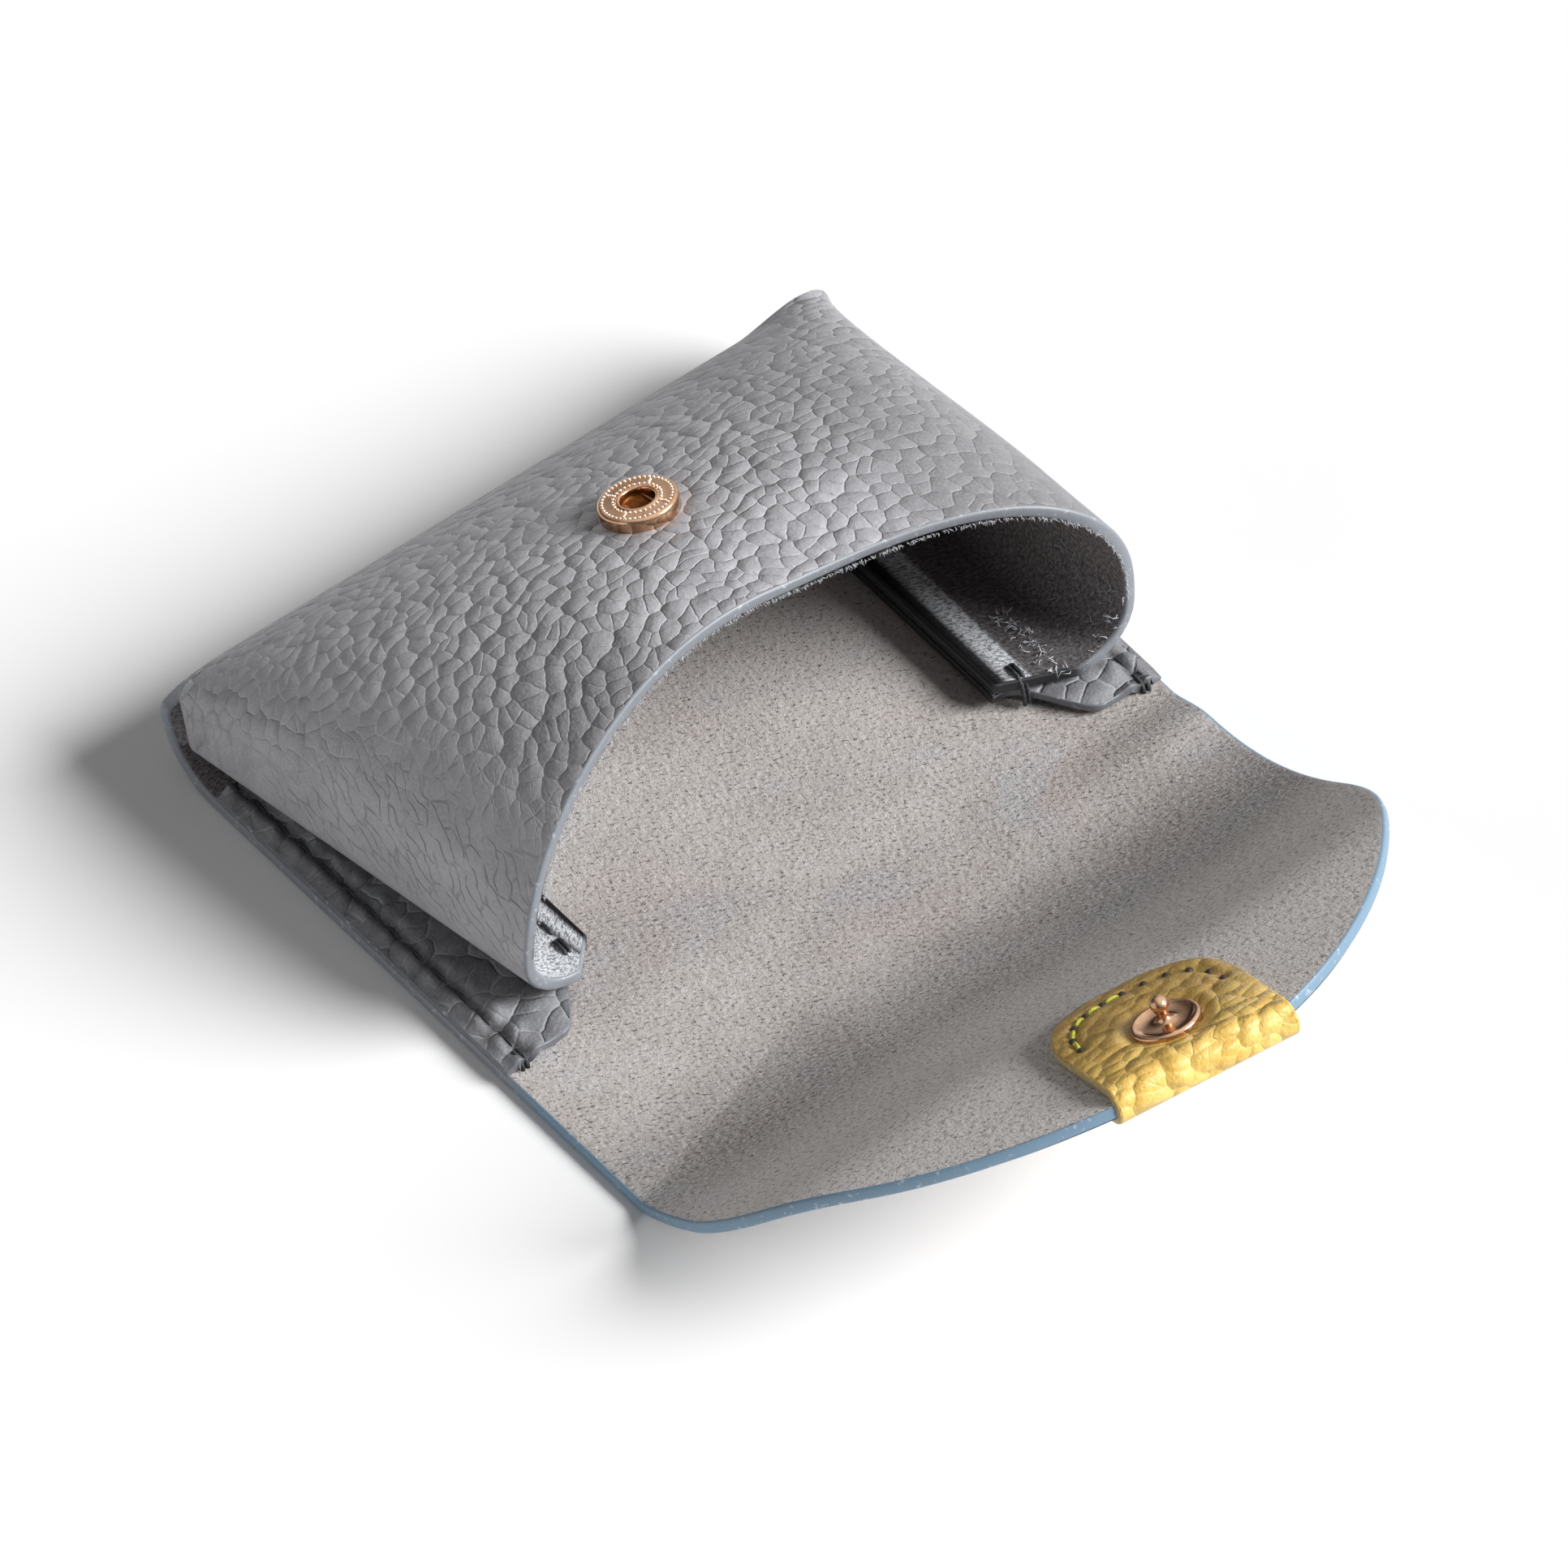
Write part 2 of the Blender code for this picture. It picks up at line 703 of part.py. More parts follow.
def make_socket(material, collection, frame):
    """The socket: a flat ring with a blind bore, whose cup passes into the leather."""
    top = SOCKET_HEIGHT
    profile = [
        (0, -SOCKET_CUP_DEPTH),
        (SOCKET_BORE_RADIUS, -SOCKET_CUP_DEPTH),
        (SOCKET_BORE_RADIUS, top - SOCKET_EDGE_ROUND),
        (SOCKET_BORE_RADIUS + SOCKET_EDGE_ROUND, top),
        (SOCKET_RADIUS - SOCKET_EDGE_ROUND, top),
        (SOCKET_RADIUS, top - SOCKET_EDGE_ROUND),
        (SOCKET_RADIUS, 0),
        (CUP_RADIUS, 0),
        (CUP_RADIUS, CUP_BOTTOM),
        (0, CUP_BOTTOM),
    ]
    return turned("snap_socket", profile, material, collection, frame)


def make_spring(name, side, material, collection, frame):
    """One of the socket's two spring wires, beside the stud's ball."""
    outer_side = SPRING_OFFSET + SPRING_RADIUS
    half_length = math.sqrt(SOCKET_BORE_RADIUS ** 2 - outer_side ** 2) - GAP
    height = SOCKET_HEIGHT - SPRING_DEPTH
    curve = bpy.data.curves.new(name, "CURVE")
    curve.dimensions = "3D"
    curve.bevel_depth = SPRING_RADIUS
    curve.bevel_resolution = 2
    curve.use_fill_caps = True
    spline = curve.splines.new("POLY")
    spline.points.add(1)
    spline.points[0].co = (side * SPRING_OFFSET, -half_length, height, 1)
    spline.points[1].co = (side * SPRING_OFFSET, half_length, height, 1)
    curve.materials.append(material)
    spring = bpy.data.objects.new(name, curve)
    spring.matrix_world = frame
    collection.objects.link(spring)
    return spring


def rivet_profile(shank_end, seat):
    """A rivet with its domed head below seat and its shank reaching up to shank_end."""
    return [
        (0, shank_end),
        (RIVET_SHANK_RADIUS, shank_end),
        (RIVET_SHANK_RADIUS, seat),
        (RIVET_RADIUS, seat),
        (RIVET_RADIUS, seat - RIVET_RIM),
        (RIVET_CROWN_RADIUS, seat - RIVET_CROWN),
        (0, seat - RIVET_HEAD),
    ]


def make_socket_rivet(material, collection, frame):
    """The rivet inside the pouch that holds the socket on."""
    profile = rivet_profile(CUP_BOTTOM - GAP, -(GAP + LEATHER + 2 * GAP))
    return turned("socket_rivet", profile, material, collection, frame)


def make_stud(material, collection, frame):
    """The stud: a rimmed base with a ball on a neck."""
    ball = []
    neck_angle = math.asin(STUD_NECK_RADIUS / STUD_BALL_RADIUS)
    for step in range(BALL_STEPS + 1):
        angle = (HALF_TURN - neck_angle) * step / BALL_STEPS
        height = STUD_BALL_HEIGHT + STUD_BALL_RADIUS * math.cos(angle)
        ball.append((STUD_BALL_RADIUS * math.sin(angle), height))
    profile = ball + [
        (STUD_NECK_RADIUS, STUD_BASE),
        (STUD_RADIUS - STUD_RIM_WIDTH, STUD_BASE),
        (STUD_RADIUS - STUD_RIM_WIDTH / 2, STUD_BASE + STUD_RIM),
        (STUD_RADIUS, STUD_BASE),
        (STUD_RADIUS, 0),
        (0, 0),
    ]
    return turned("snap_stud", profile, material, collection, frame)


def make_stud_rivet(material, collection, frame):
    """The rivet cap on the tab's outside; its shank reaches up to the stud."""
    profile = rivet_profile(TAB_TOP, TAB_BOTTOM - GAP)
    return turned("stud_rivet", profile, material, collection, frame)


def build():
    remove_everything()
    wallet = make_collection("card_wallet")
    cutters = make_collection("cutters")
    leather = make_material("grey leather", GREY, 0.6)
    gusset = make_material("gusset leather", GREY, 0.65)
    suede = make_material("suede", SUEDE, 0.95)
    yellow = make_material("yellow leather", YELLOW, 0.5)
    thread = make_material("dark thread", DARK_THREAD, 0.8)
    olive = make_material("olive thread", OLIVE_THREAD, 0.8)
    metal = make_material("rose gold", ROSE_GOLD, 0.25, 1.0)

    make_back(leather, wallet)
    front = make_front(leather, wallet)
    flap = make_flap(suede, wallet)
    tip = make_flap_tip(suede, wallet)
    tab = make_tab(yellow, wallet)
    for side, word in ((-1, "left"), (1, "right")):
        make_gusset(word + "_gusset", side, gusset, wallet)
        make_outer_seam(word + "_outer_seam", side, thread, wallet)
        make_inner_seam(word + "_inner_seam", side, thread, wallet)
    tab_seams = [
        make_tab_seam("tab_inner_seam", TAB_TOP, 1, olive, wallet),
        make_tab_seam("tab_outer_seam", TAB_BOTTOM, -1, olive, wallet),
    ]

    socket_place = socket_frame()
    make_socket(metal, wallet, socket_place)
    make_spring("left_spring", -1, metal, wallet, socket_place)
    make_spring("right_spring", 1, metal, wallet, socket_place)
    make_socket_rivet(metal, wallet, socket_place)
    stud = make_stud(metal, wallet, stud_frame(TAB_TOP + GAP))
    stud_rivet = make_stud_rivet(metal, wallet, stud_frame(0))

    lift_place = Vector((0, HINGE_Y, LEATHER))
    bend_place = flap_point(0, BEND_DISTANCE, 0)
    lift = make_pivot("flap_lift_pivot", lift_place, wallet)
    bend = make_pivot("flap_bend_pivot", bend_place, wallet, lift)
    carry(lift, lift_place, [flap])
    carry(bend, bend_place, [tip, tab, stud, stud_rivet] + tab_seams)

    below = -(LEATHER + CUT_OVERRUN)
    cut(front, make_cutter("socket_hole", CUP_RADIUS + GAP, below, CUT_OVERRUN, cutters, socket_place))
    shank = make_cutter("shank_hole", SHANK_HOLE_RADIUS, TAB_BOTTOM - CUT_OVERRUN, TAB_TOP + CUT_OVERRUN,
                        cutters, stud_frame(0))
    cut(tip, shank)
    cut(tab, shank)


build()
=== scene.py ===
"""The looks of an open leather card wallet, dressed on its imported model.

Metres, +Z up. X runs across the wallet, Y from its mouth to the bottom fold, and the flap lies towards -Y.
The leather's shape follows the same lines as the model's solids: a crown line from the back, round the
bottom fold and over to the lip, sections across it, and the flap's curl.
"""
import math
import random
from itertools import accumulate

import bmesh
import bpy
import numpy as np
from mathutils import Matrix, Vector


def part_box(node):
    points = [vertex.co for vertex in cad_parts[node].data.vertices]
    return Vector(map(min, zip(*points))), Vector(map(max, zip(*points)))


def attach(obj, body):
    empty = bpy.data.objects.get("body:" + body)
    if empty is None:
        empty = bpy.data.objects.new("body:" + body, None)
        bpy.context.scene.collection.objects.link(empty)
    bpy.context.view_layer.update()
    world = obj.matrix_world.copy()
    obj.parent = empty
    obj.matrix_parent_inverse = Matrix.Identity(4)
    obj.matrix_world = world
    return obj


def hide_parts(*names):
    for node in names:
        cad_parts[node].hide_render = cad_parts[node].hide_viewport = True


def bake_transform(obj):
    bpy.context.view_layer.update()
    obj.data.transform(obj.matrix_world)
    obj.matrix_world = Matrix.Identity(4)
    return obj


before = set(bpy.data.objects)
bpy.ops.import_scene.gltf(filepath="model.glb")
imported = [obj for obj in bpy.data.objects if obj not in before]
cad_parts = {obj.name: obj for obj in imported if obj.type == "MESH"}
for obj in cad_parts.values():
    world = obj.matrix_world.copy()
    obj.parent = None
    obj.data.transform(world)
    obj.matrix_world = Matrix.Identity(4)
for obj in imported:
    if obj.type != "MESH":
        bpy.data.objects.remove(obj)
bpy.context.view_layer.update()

MM_PER_METRE = 1000
HALF_TURN = math.pi
QUARTER_TURN = math.pi / 2
FULL_TURN = 2 * math.pi

# Leather and clearance
LEATHER = 0.0018
GUSSET_LEATHER = 0.0013
TAB_LEATHER = 0.0014
GAP = 0.0003
EDGE_ROUND = 0.00045
STRIP_EDGE_ROUND = 0.00025

# The leather's look
WRINKLE_ANGLE = math.radians(38)
NAP_ANGLE = math.radians(25)
CREASE_WIDTH_SHARE = 0.085
# Painted shade over the flap's curl, then painted light over its far end.
SHADE_START = 0.010
SHADE_LENGTH = 0.012
FLAP_PAINTED_LIGHT_START = 0.026
FLAP_PAINTED_LIGHT_LENGTH = 0.020
BLUE_START = 0.002
BLUE_LENGTH = 0.010
# Painted light over the back's suede inside the mouth.
BACK_PAINTED_LIGHT_Y = 0.004
BACK_PAINTED_LIGHT_LENGTH = 0.024
BACK_PAINTED_LIGHT_X = 0.006
BACK_PAINTED_LIGHT_WIDTH = 0.018
# Where the back's suede turns charcoal under the strips: painted shade in the gap there.
COVER_INSET = 0.004
COVER_FADE = 0.002
COVER_Y = 0.003
COVER_LENGTH = 0.004
PAINT_RELIEF = 0.00012
THREAD_RELIEF = 0.00006
PLATING_RELIEF = 0.00002

# Where the pouch's looks change: starts and lengths, as shares across its front or along its rows
FOLD_DARK_ROW_SHARES = (0.62, 0.14)
STRETCH_START_SHARES = (0.94, 0.55)
STRETCH_LENGTH_SHARE = 0.28
STRETCH_ROW_SHARE = 0.70
FLANGE_EDGE_SHARES = (1.28, 0.03)
FLANGE_GROOVE_SHARE = 1.215
FLANGE_GROOVE_WIDTH_SHARE = 0.012
RIGHT_PLAIN_SHARES = (0.15, 0.40)
RIGHT_SHADE_SHARES = (0.24, 0.25)
RIGHT_PAINTED_SHEEN_SHARES = (1.22, 0.03)
RIGHT_FLANGE_SHADE_SHARES = (1.04, 0.08)
RIGHT_DARK_SHARES = (1.08, 0.06)
LEFT_PAINTED_SHEEN_SHARES = (0.93, 0.12)
LEFT_PAINTED_SHEEN_ROW_SHARES = (0.55, 0.30)
LEFT_SHADE_SHARES = (0.20, 0.20)
LEFT_SHADE_ROW_SHARES = (0.50, 0.40)
LEFT_CREASE_SHARES = (1.08, -0.12)
LEFT_CREASE_ROW_SHARE = 0.35

# The pouch, from the model's own boxes where these give it
HALF_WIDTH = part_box("back_panel")[1].x
FOLD_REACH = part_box("back_panel")[1].y
BACK_FLAT = 0.0607
FOLD_DEPTH = FOLD_REACH - BACK_FLAT
FOLD_HEIGHT = 0.0107
FOLD_TOP_ANGLE = math.radians(18)
POUCH_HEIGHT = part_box("front_panel")[1].z
CROWN_Y = 0.0280
LIP_Y = 0.0165
CROWN_POWER = 1.5
CURVED_LENGTH_SHARE = 0.80
FAR_INSET = 0.0002
MOUTH_INSET = 0.0037
MOUTH_SHIFT = 0.0032
LEAN = 0.0115
LEAN_POWER = 4.0
RIGHT_WAIST = 0.0022
RIGHT_WAIST_POWER = 0.8
CORNER_NUB = 0.0023
CORNER_NUB_POWER = 12
NUB_START_SHARE = 0.72
NUB_LENGTH_SHARE = 0.20
FAR_WALL_Y = 0.0655
MOUTH_WALL_Y = 0.0047
FAR_TURN_RADIUS = 0.0030
MOUTH_TURN_RADIUS = 0.0090
FAR_SECTION_POWER = 14.0
LEFT_MOUTH_POWER = 2.4
RIGHT_MOUTH_POWER = 2.9
SCOOP_POWER = 2.2
FAR_EDGE_POWER = 1.3
SECTION_BLEND_POWER = 0.45
FLANGE_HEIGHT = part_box("front_panel")[0].z
FLANGE_MOUTH_SLANT = 0.0045
CORNER_WIDTH_SHARE = 0.985
TAPER_START_SHARE = 0.90
JOIN_START_SHARE = 0.86
RIGHT_TURN_X = 0.0420
RIGHT_TURN_WIDTH = 0.0060

# Gusset strips
GUSSET_WIDTH = 0.0205
GUSSET_LENGTH = 0.0600
GUSSET_RISE = 0.0012
STRIP_SLANT = 0.0093
STRIP_SQUARE_X = 0.0445
STRIP_SLANT_WIDTH = 0.0090
EDGE_DROOP = 0.0002
DROOP_LENGTH = 0.0020
SETTLED_WIDTH = 0.0030
DARK_EDGE_WIDTH = 0.0030
DARK_EDGE_FADE = 0.0020
PLAIN_EDGE_WIDTH = 0.0012
GUSSET_SEAT = LEATHER + GAP
SEAM_X = HALF_WIDTH - GUSSET_WIDTH

# Flap
HINGE_Y = -0.0020
FLAP_LENGTH = 0.0853
FLAP_STRAIGHT = 0.0380
FLAP_ROUND_POWER = 1.85
FLAP_TIP_ANGLE = math.radians(74)
CURL_START = 0.0100
CURL_END = 0.0500
CURL_ANGLE = math.radians(42)
RELIEF_START = 0.0500
RELIEF_END = 0.0660
RELIEF_ANGLE = math.radians(16)
SPLIT_DISTANCE = 0.0040
TWIST = 0.0040
TWIST_POWER = 1.3
TWIST_FREE_WIDTH = 0.0145
TWIST_EDGE_LENGTH = 0.0080
TWIST_LENGTH = 0.0400

# Tab
TAB_WIDTH = 0.0274
TAB_TURN = math.radians(8.0)
TAB_END = 0.0829
TAB_EDGE_ROUND = 0.00056
STUD_DISTANCE = 0.0750
TAB_START = 0.0595
TAB_SHOULDER = 0.0710
TAB_ROUND_POWER = 2.3
LEAF_TIP_ANGLE = math.radians(80)
TAB_TOP = GAP + TAB_LEATHER
TAB_BOTTOM = -(LEATHER + GAP + TAB_LEATHER)
ROLL_RADIUS = LEATHER / 2 + GAP + TAB_LEATHER
TAB_SEAM_INSET = 0.0030
TAB_STITCH_PITCH = 0.0031
TAB_GROOVE_WIDTH = 0.0008
TAB_GROOVE_DEPTH = 0.0005
TAB_PUFF = 0.0007
TAB_PUFF_LENGTH = 0.0060
TAB_PUFF_POWER = 4
TAB_SEAT_WIDTH = 0.0025
TAB_SHADE_START = 0.0690
TAB_SHADE_LENGTH = 0.0120

# Seams
THREAD = 0.0006
OUTER_SEAM_X = HALF_WIDTH - 0.0032
INNER_SEAM_INSET = 0.0035
BODY_STITCH_PITCH = 0.0046
SEAM_END_MARGIN = 0.0020
GROOVE = 0.0005
GROOVE_WIDTH = 0.0007
PUFF = 0.0008
SEAM_WANDER = 0.0002
PUFF_PLACE = 0.0017
PUFF_WIDTH = 0.0012
PUFF_EDGE_WIDTH = 0.0022
PUCKER_SHARE = 0.55
THREAD_SIDES = 8
STITCH_STEPS = 8
STITCH_ARCH_POWER = 0.35
STITCH_END_SHARE = 0.8
OUTER_STITCH_SHARE = 0.76
OUTER_STITCH_RISE = THREAD * 1.25
INNER_STITCH_SHARE = 0.72
LEFT_INNER_RISE = THREAD * 1.4
RIGHT_INNER_RISE = THREAD * 0.5
TAB_STITCH_MARGIN = 0.12
TAB_STITCH_RISE = THREAD * 1.6
INNER_SEAM_START = 0.0110
OUTER_LOOP_SPACING = 0.0008
OUTER_LOOP = ((0.0024, -0.0006), (0.0018, 0.0001), (0.0004, 0.0001), (-0.0002, -0.0007), (-0.0004, -0.0014))
INNER_LOOP_SPACING = 0.0007
INNER_LOOP = ((0.0112, -0.0005), (0.0104, 0.0003), (0.0086, 0.0003), (0.0078, -0.0006),
              (0.0072, -0.0024), (0.0070, -0.0040))
HOLE_RADIUS = 0.00062
HOLE_SINK = HOLE_RADIUS / 10
FIBRE_RADIUS = 0.00005
RIM_FIBRES = 900
RIM_FIBRE_LENGTH = 0.0006
INNER_FIBRES = 260
INNER_FIBRE_LENGTH = 0.0018

# Snap fastener
SOCKET_RADIUS = 0.0054
SOCKET_HEIGHT = 0.0022
SOCKET_TOP = 0.0026
OUTER_BEADS = 44
INNER_BEADS = 30
BEAD_RADIUS = 0.00020
BEAD_SINK = 0.00002
OUTER_BEAD_RING = 0.00466
INNER_BEAD_RING = 0.00322
BEAD_ROW_RADII = (0.0036, 0.0039, 0.0042)
BEAD_ROW_ANGLE = math.radians(28)
SOCKET_BORE = 0.0024
SOCKET_BORE_DEPTH = 0.0008
SOCKET_LIP = 0.00026
SOCKET_LIP_ROLL = SOCKET_LIP * 1.3
SOCKET_SHOULDER = 0.00050
RING_INSET = 0.0001
RING_DROP = 0.00012
SKIRT_INSET = 0.0002
COLLAR_RADIUS = 0.0030
COLLAR_DEPTH = 0.0013
CUP = ((0, 0.0012), (0.0021, 0.0012), (0.00238, 0.0015), (0.00238, 0.0020))
STUD_RADIUS = 0.0048
STUD_BALL_RADIUS = 0.00125
STUD_BALL_HEIGHT = 0.0029
STUD_TOP = STUD_BALL_HEIGHT + STUD_BALL_RADIUS
STUD_NECK = [(0.00075, 0.0016), (0.00080, 0.0010), (0.00115, 0.00055), (0.0019, 0.00035), (0.0030, 0.00028)]
STUD_RIM_RADIUS = 0.00045
STUD_RIM_HEIGHT = 0.00035
STUD_TILT = math.radians(-4)

# Mesh detail
BACK_STEP = 0.0013
FOLD_ROWS = 22
FOLD_TOP_ROWS = 7
FRONT_ROWS = 60
ARCH_COLUMNS = 62
TURN_COLUMNS = 7
FLANGE_COLUMNS = 14
CURVE_SAMPLES = 200
PROFILE_STEPS = 60
FLAP_COLUMNS = 100
FLAP_STRAIGHT_ROWS = 34
FLAP_ROUND_ROWS = 54
TAB_COLUMNS = 56
TAB_SEAM_SKIP = 4
LEAF_ROUND_ROWS = 26
LEAF_STRAIGHT_ROWS = 26
ROLL_ROWS = 14
STRIP_ROWS = 110
STRIP_COLUMNS = 34
TURNED_STEPS = 72
SHARP_ANGLE = math.radians(50)
WELD_DISTANCE = 0.000005
ARC_STEPS = 8
BALL_STEPS = 16


def lerp(start, end, share):
    """The value a share of the way from start to end."""
    return start + (end - start) * share


def clamp_share(value):
    """The value held between nothing and the whole."""
    return min(max(value, 0.0), 1.0)


def smooth(share):
    """A share eased at both ends."""
    share = clamp_share(share)
    return share * share * (3 - 2 * share)


def srgb(red, green, blue):
    """A colour as seen on a screen, from 0 to 255, as a linear one."""
    linear = []
    for value in (red, green, blue):
        value = value / 255
        linear.append(value / 12.92 if value <= 0.04045 else ((value + 0.055) / 1.055) ** 2.4)
    return (*linear, 1.0)


def eased(value, start, length):
    """0 up to start and 1 from a length past it, eased between. A negative length runs the other way."""
    return smooth((value - start) / length)


def rounded(angle, power):
    """A superellipse's point, as shares of its reach across and along. A high power makes it squarer."""
    across, along = math.cos(angle), math.sin(angle)
    return math.copysign(abs(across) ** (2 / power), across), abs(along) ** (2 / power)


# Materials

class Nodes:
    """A node tree being built: each call adds a node and gives back its output."""

    def __init__(self, tree):
        self.tree = tree

    def feed(self, socket, value):
        """Links an output to a socket, or sets the socket to a number or colour."""
        if isinstance(value, bpy.types.NodeSocket):
            self.tree.links.new(value, socket)
        else:
            socket.default_value = value

    def add(self, kind, inputs, output=0, **settings):
        node = self.tree.nodes.new(kind)
        for key, value in settings.items():
            setattr(node, key, value)
        for key, value in inputs.items():
            self.feed(node.inputs[key], value)
        return node.outputs[output]

    def math(self, operation, first, second):
        return self.add("ShaderNodeMath", {0: first, 1: second}, operation=operation)

    def times(self, first, second):
        return self.math("MULTIPLY", first, second)

    def ramp(self, value, low, high, start=0.0, end=1.0):
        """start where value is low or less, end where it is high or more, eased between."""
        inputs = dict(enumerate((value, low, high, start, end)))
        return self.add("ShaderNodeMapRange", inputs, interpolation_type="SMOOTHSTEP")

    def mix(self, share, first, second):
        return self.add("ShaderNodeMix", {0: share, 6: first, 7: second}, 2, data_type="RGBA")

    def layered(self, colour, *layers):
        """The colour with tints laid over it in turn, each given as its share and the tint."""
        for share, tint in layers:
            colour = self.mix(share, colour, tint)
        return colour


class Look(Nodes):
    """A material being made."""

    def __init__(self, name, roughness, metallic=0.0, specular=0.5):
        self.material = bpy.data.materials.new(name)
        self.material.use_nodes = True
        super().__init__(self.material.node_tree)
        self.shader = self.tree.nodes["Principled BSDF"].inputs
        self.shader["Roughness"].default_value = roughness
        self.shader["Metallic"].default_value = metallic
        self.shader["Specular IOR Level"].default_value = specular

    def sheet_place(self):
        """Where a point lies on the flat leather, in millimetres."""
        return self.add("ShaderNodeUVMap", {}, uv_map="sheet")

    def object_place(self):
        """Where a point lies on the object, in metres."""
        return self.add("ShaderNodeTexCoord", {}, "Object")

    def mask(self, name):
        """A share that the mesh carries at each point."""
        return self.add("ShaderNodeAttribute", {}, "Fac", attribute_name=name)

    def scaled(self, place, factors):
        return self.add("ShaderNodeVectorMath", {0: place, 1: factors}, operation="MULTIPLY")

    def turned(self, place, angle):
        inputs = {"Vector": place, "Angle": angle}
        return self.add("ShaderNodeVectorRotate", inputs, rotation_type="Z_AXIS")

    def shifted(self, place, offset, amount):
        """The place moved about by a colour-like offset around one half."""
        centred = self.add("ShaderNodeVectorMath", {0: offset, 1: (0.5, 0.5, 0.5)}, operation="SUBTRACT")
        inputs = {0: centred, 1: (amount, amount, amount), 2: place}
        return self.add("ShaderNodeVectorMath", inputs, operation="MULTIPLY_ADD")

    def noise(self, place, scale, detail=2.0, roughness=0.5, output=0):
        inputs = {"Vector": place, "Scale": scale, "Detail": detail, "Roughness": roughness}
        return self.add("ShaderNodeTexNoise", inputs, output)

    def cells(self, place, scale, feature, **more):
        inputs = {"Vector": place, "Scale": scale, **more}
        return self.add("ShaderNodeTexVoronoi", inputs, "Distance", voronoi_dimensions="2D", feature=feature)

    def bump(self, height, distance):
        return self.add("ShaderNodeBump", {"Height": height, "Distance": distance})

    def finish(self, colour, normal=None, roughness=None):
        for socket, value in (("Base Color", colour), ("Normal", normal), ("Roughness", roughness)):
            if value is not None:
                self.feed(self.shader[socket], value)
        return self.material


def pebble_height(look, place, size, softness):
    """Pebbled grain of about this size in millimetres, domes between creases: its height and creases."""
    warp = look.noise(place, 1.3 / size, output=1)
    drift = look.noise(place, 0.3 / size, 1.0, output=1)
    warped = look.shifted(look.shifted(place, warp, 0.34 * size), drift, 1.2 * size)
    warped = look.scaled(warped, (0.82, 1.05, 1.0))
    edge = look.cells(warped, 1 / size, "DISTANCE_TO_EDGE", Randomness=0.9)
    middle = look.cells(warped, 1 / size, "SMOOTH_F1", Randomness=0.9, Smoothness=softness)
    dome = look.times(look.times(middle, middle), -2.1)
    swell = look.noise(place, 1.1 / size, roughness=0.6)
    depth = look.ramp(look.noise(place, 0.8 / size), 0.34, 0.62, 0.35, 1.0)
    creases = look.times(look.ramp(edge, 0.0, CREASE_WIDTH_SHARE, 1.0, 0.0), depth)
    height = look.math("ADD", dome, look.times(swell, 0.40))
    return look.math("SUBTRACT", height, look.times(creases, 0.30 * (1 - softness))), creases


def wrinkle_depth(look, place):
    """Thin creases that run down a stretched wall, drawn out to a few millimetres each."""
    bent = look.shifted(place, look.noise(place, 0.20, output=1), 4.0)
    drawn_out = look.scaled(look.turned(bent, WRINKLE_ANGLE), (0.19, 0.62, 1.0))
    line = look.ramp(look.cells(drawn_out, 1.0, "DISTANCE_TO_EDGE"), 0.0, CREASE_WIDTH_SHARE, 1.0, 0.0)
    broken = look.ramp(look.noise(place, 0.45, roughness=0.6), 0.34, 0.56, 0.1, 1.0)
    return look.times(line, broken)


def grain_leather(name, light, dark, shade_and_dark_tone, pale_tone_and_highlight, pebble_size, relief, roughness=0.5, softness=0.12):
    """Pebbled leather whose grain fades to fine creases where the mesh's masks say so."""
    look = Look(name, roughness, specular=0.45)
    place = look.sheet_place()
    pebbles, creases = pebble_height(look, place, pebble_size, softness)
    grain = look.mask("grain")
    furrow = look.times(creases, grain)
    wrinkles = look.times(wrinkle_depth(look, place), look.mask("crease"))
    mottle = look.noise(place, 0.16, 3.0, 0.55)
    fine = look.noise(place, 2.2, 3.0, 0.7)
    # Painted shade: the deep creases, the wrinkles and the shade mask darken the colour, and so does the
    # black mask, which is partly black paint and partly painted shade. A pale band along the creases is
    # partly a painted highlight and partly rubbing. The fine noise adds paler and darker tone.
    colour = look.layered(
        look.mix(look.ramp(mottle, 0.3, 0.7), light, dark),
        (look.ramp(furrow, 0.05, 0.6, 0.0, 0.50), pale_tone_and_highlight),
        (look.ramp(furrow, 0.72, 1.0, 0.0, 0.40 * (1 - softness)), shade_and_dark_tone),
        (look.times(wrinkles, 0.12), shade_and_dark_tone),
        (look.times(look.mask("shade"), 0.5), shade_and_dark_tone),
        (look.times(look.mask("black"), 0.9), shade_and_dark_tone),
        (look.ramp(fine, 0.50, 0.66, 0.0, 0.12), shade_and_dark_tone),
        (look.ramp(fine, 0.34, 0.50, 0.20, 0.0), pale_tone_and_highlight),
    )
    height = look.math("SUBTRACT", look.times(pebbles, grain), look.times(wrinkles, 0.50))
    height = look.math("ADD", height, look.times(fine, 0.26))
    gloss = look.ramp(look.noise(place, 0.5), 0.3, 0.7, roughness - 0.05, roughness + 0.08)
    return look.finish(colour, look.bump(height, relief), gloss)


def speckled(look, place, colour, speck, glint):
    """Nap seen close: short dark specks and pale glints over a colour. Gives the colour and the specks."""
    strokes = look.scaled(look.turned(place, NAP_ANGLE), (1.3, 2.4, 1.0))
    nap = look.noise(strokes, 1.0, 3.0, 0.75)
    pits = look.ramp(nap, 0.59, 0.68)
    sparks = look.noise(strokes, 1.35, roughness=0.7)
    colour = look.layered(
        colour,
        (look.ramp(nap, 0.25, 0.60, 0.50, 0.0), glint),
        (look.times(pits, 0.80), speck),
        (look.ramp(sparks, 0.60, 0.69, 0.0, 0.8), glint),
    )
    return colour, pits


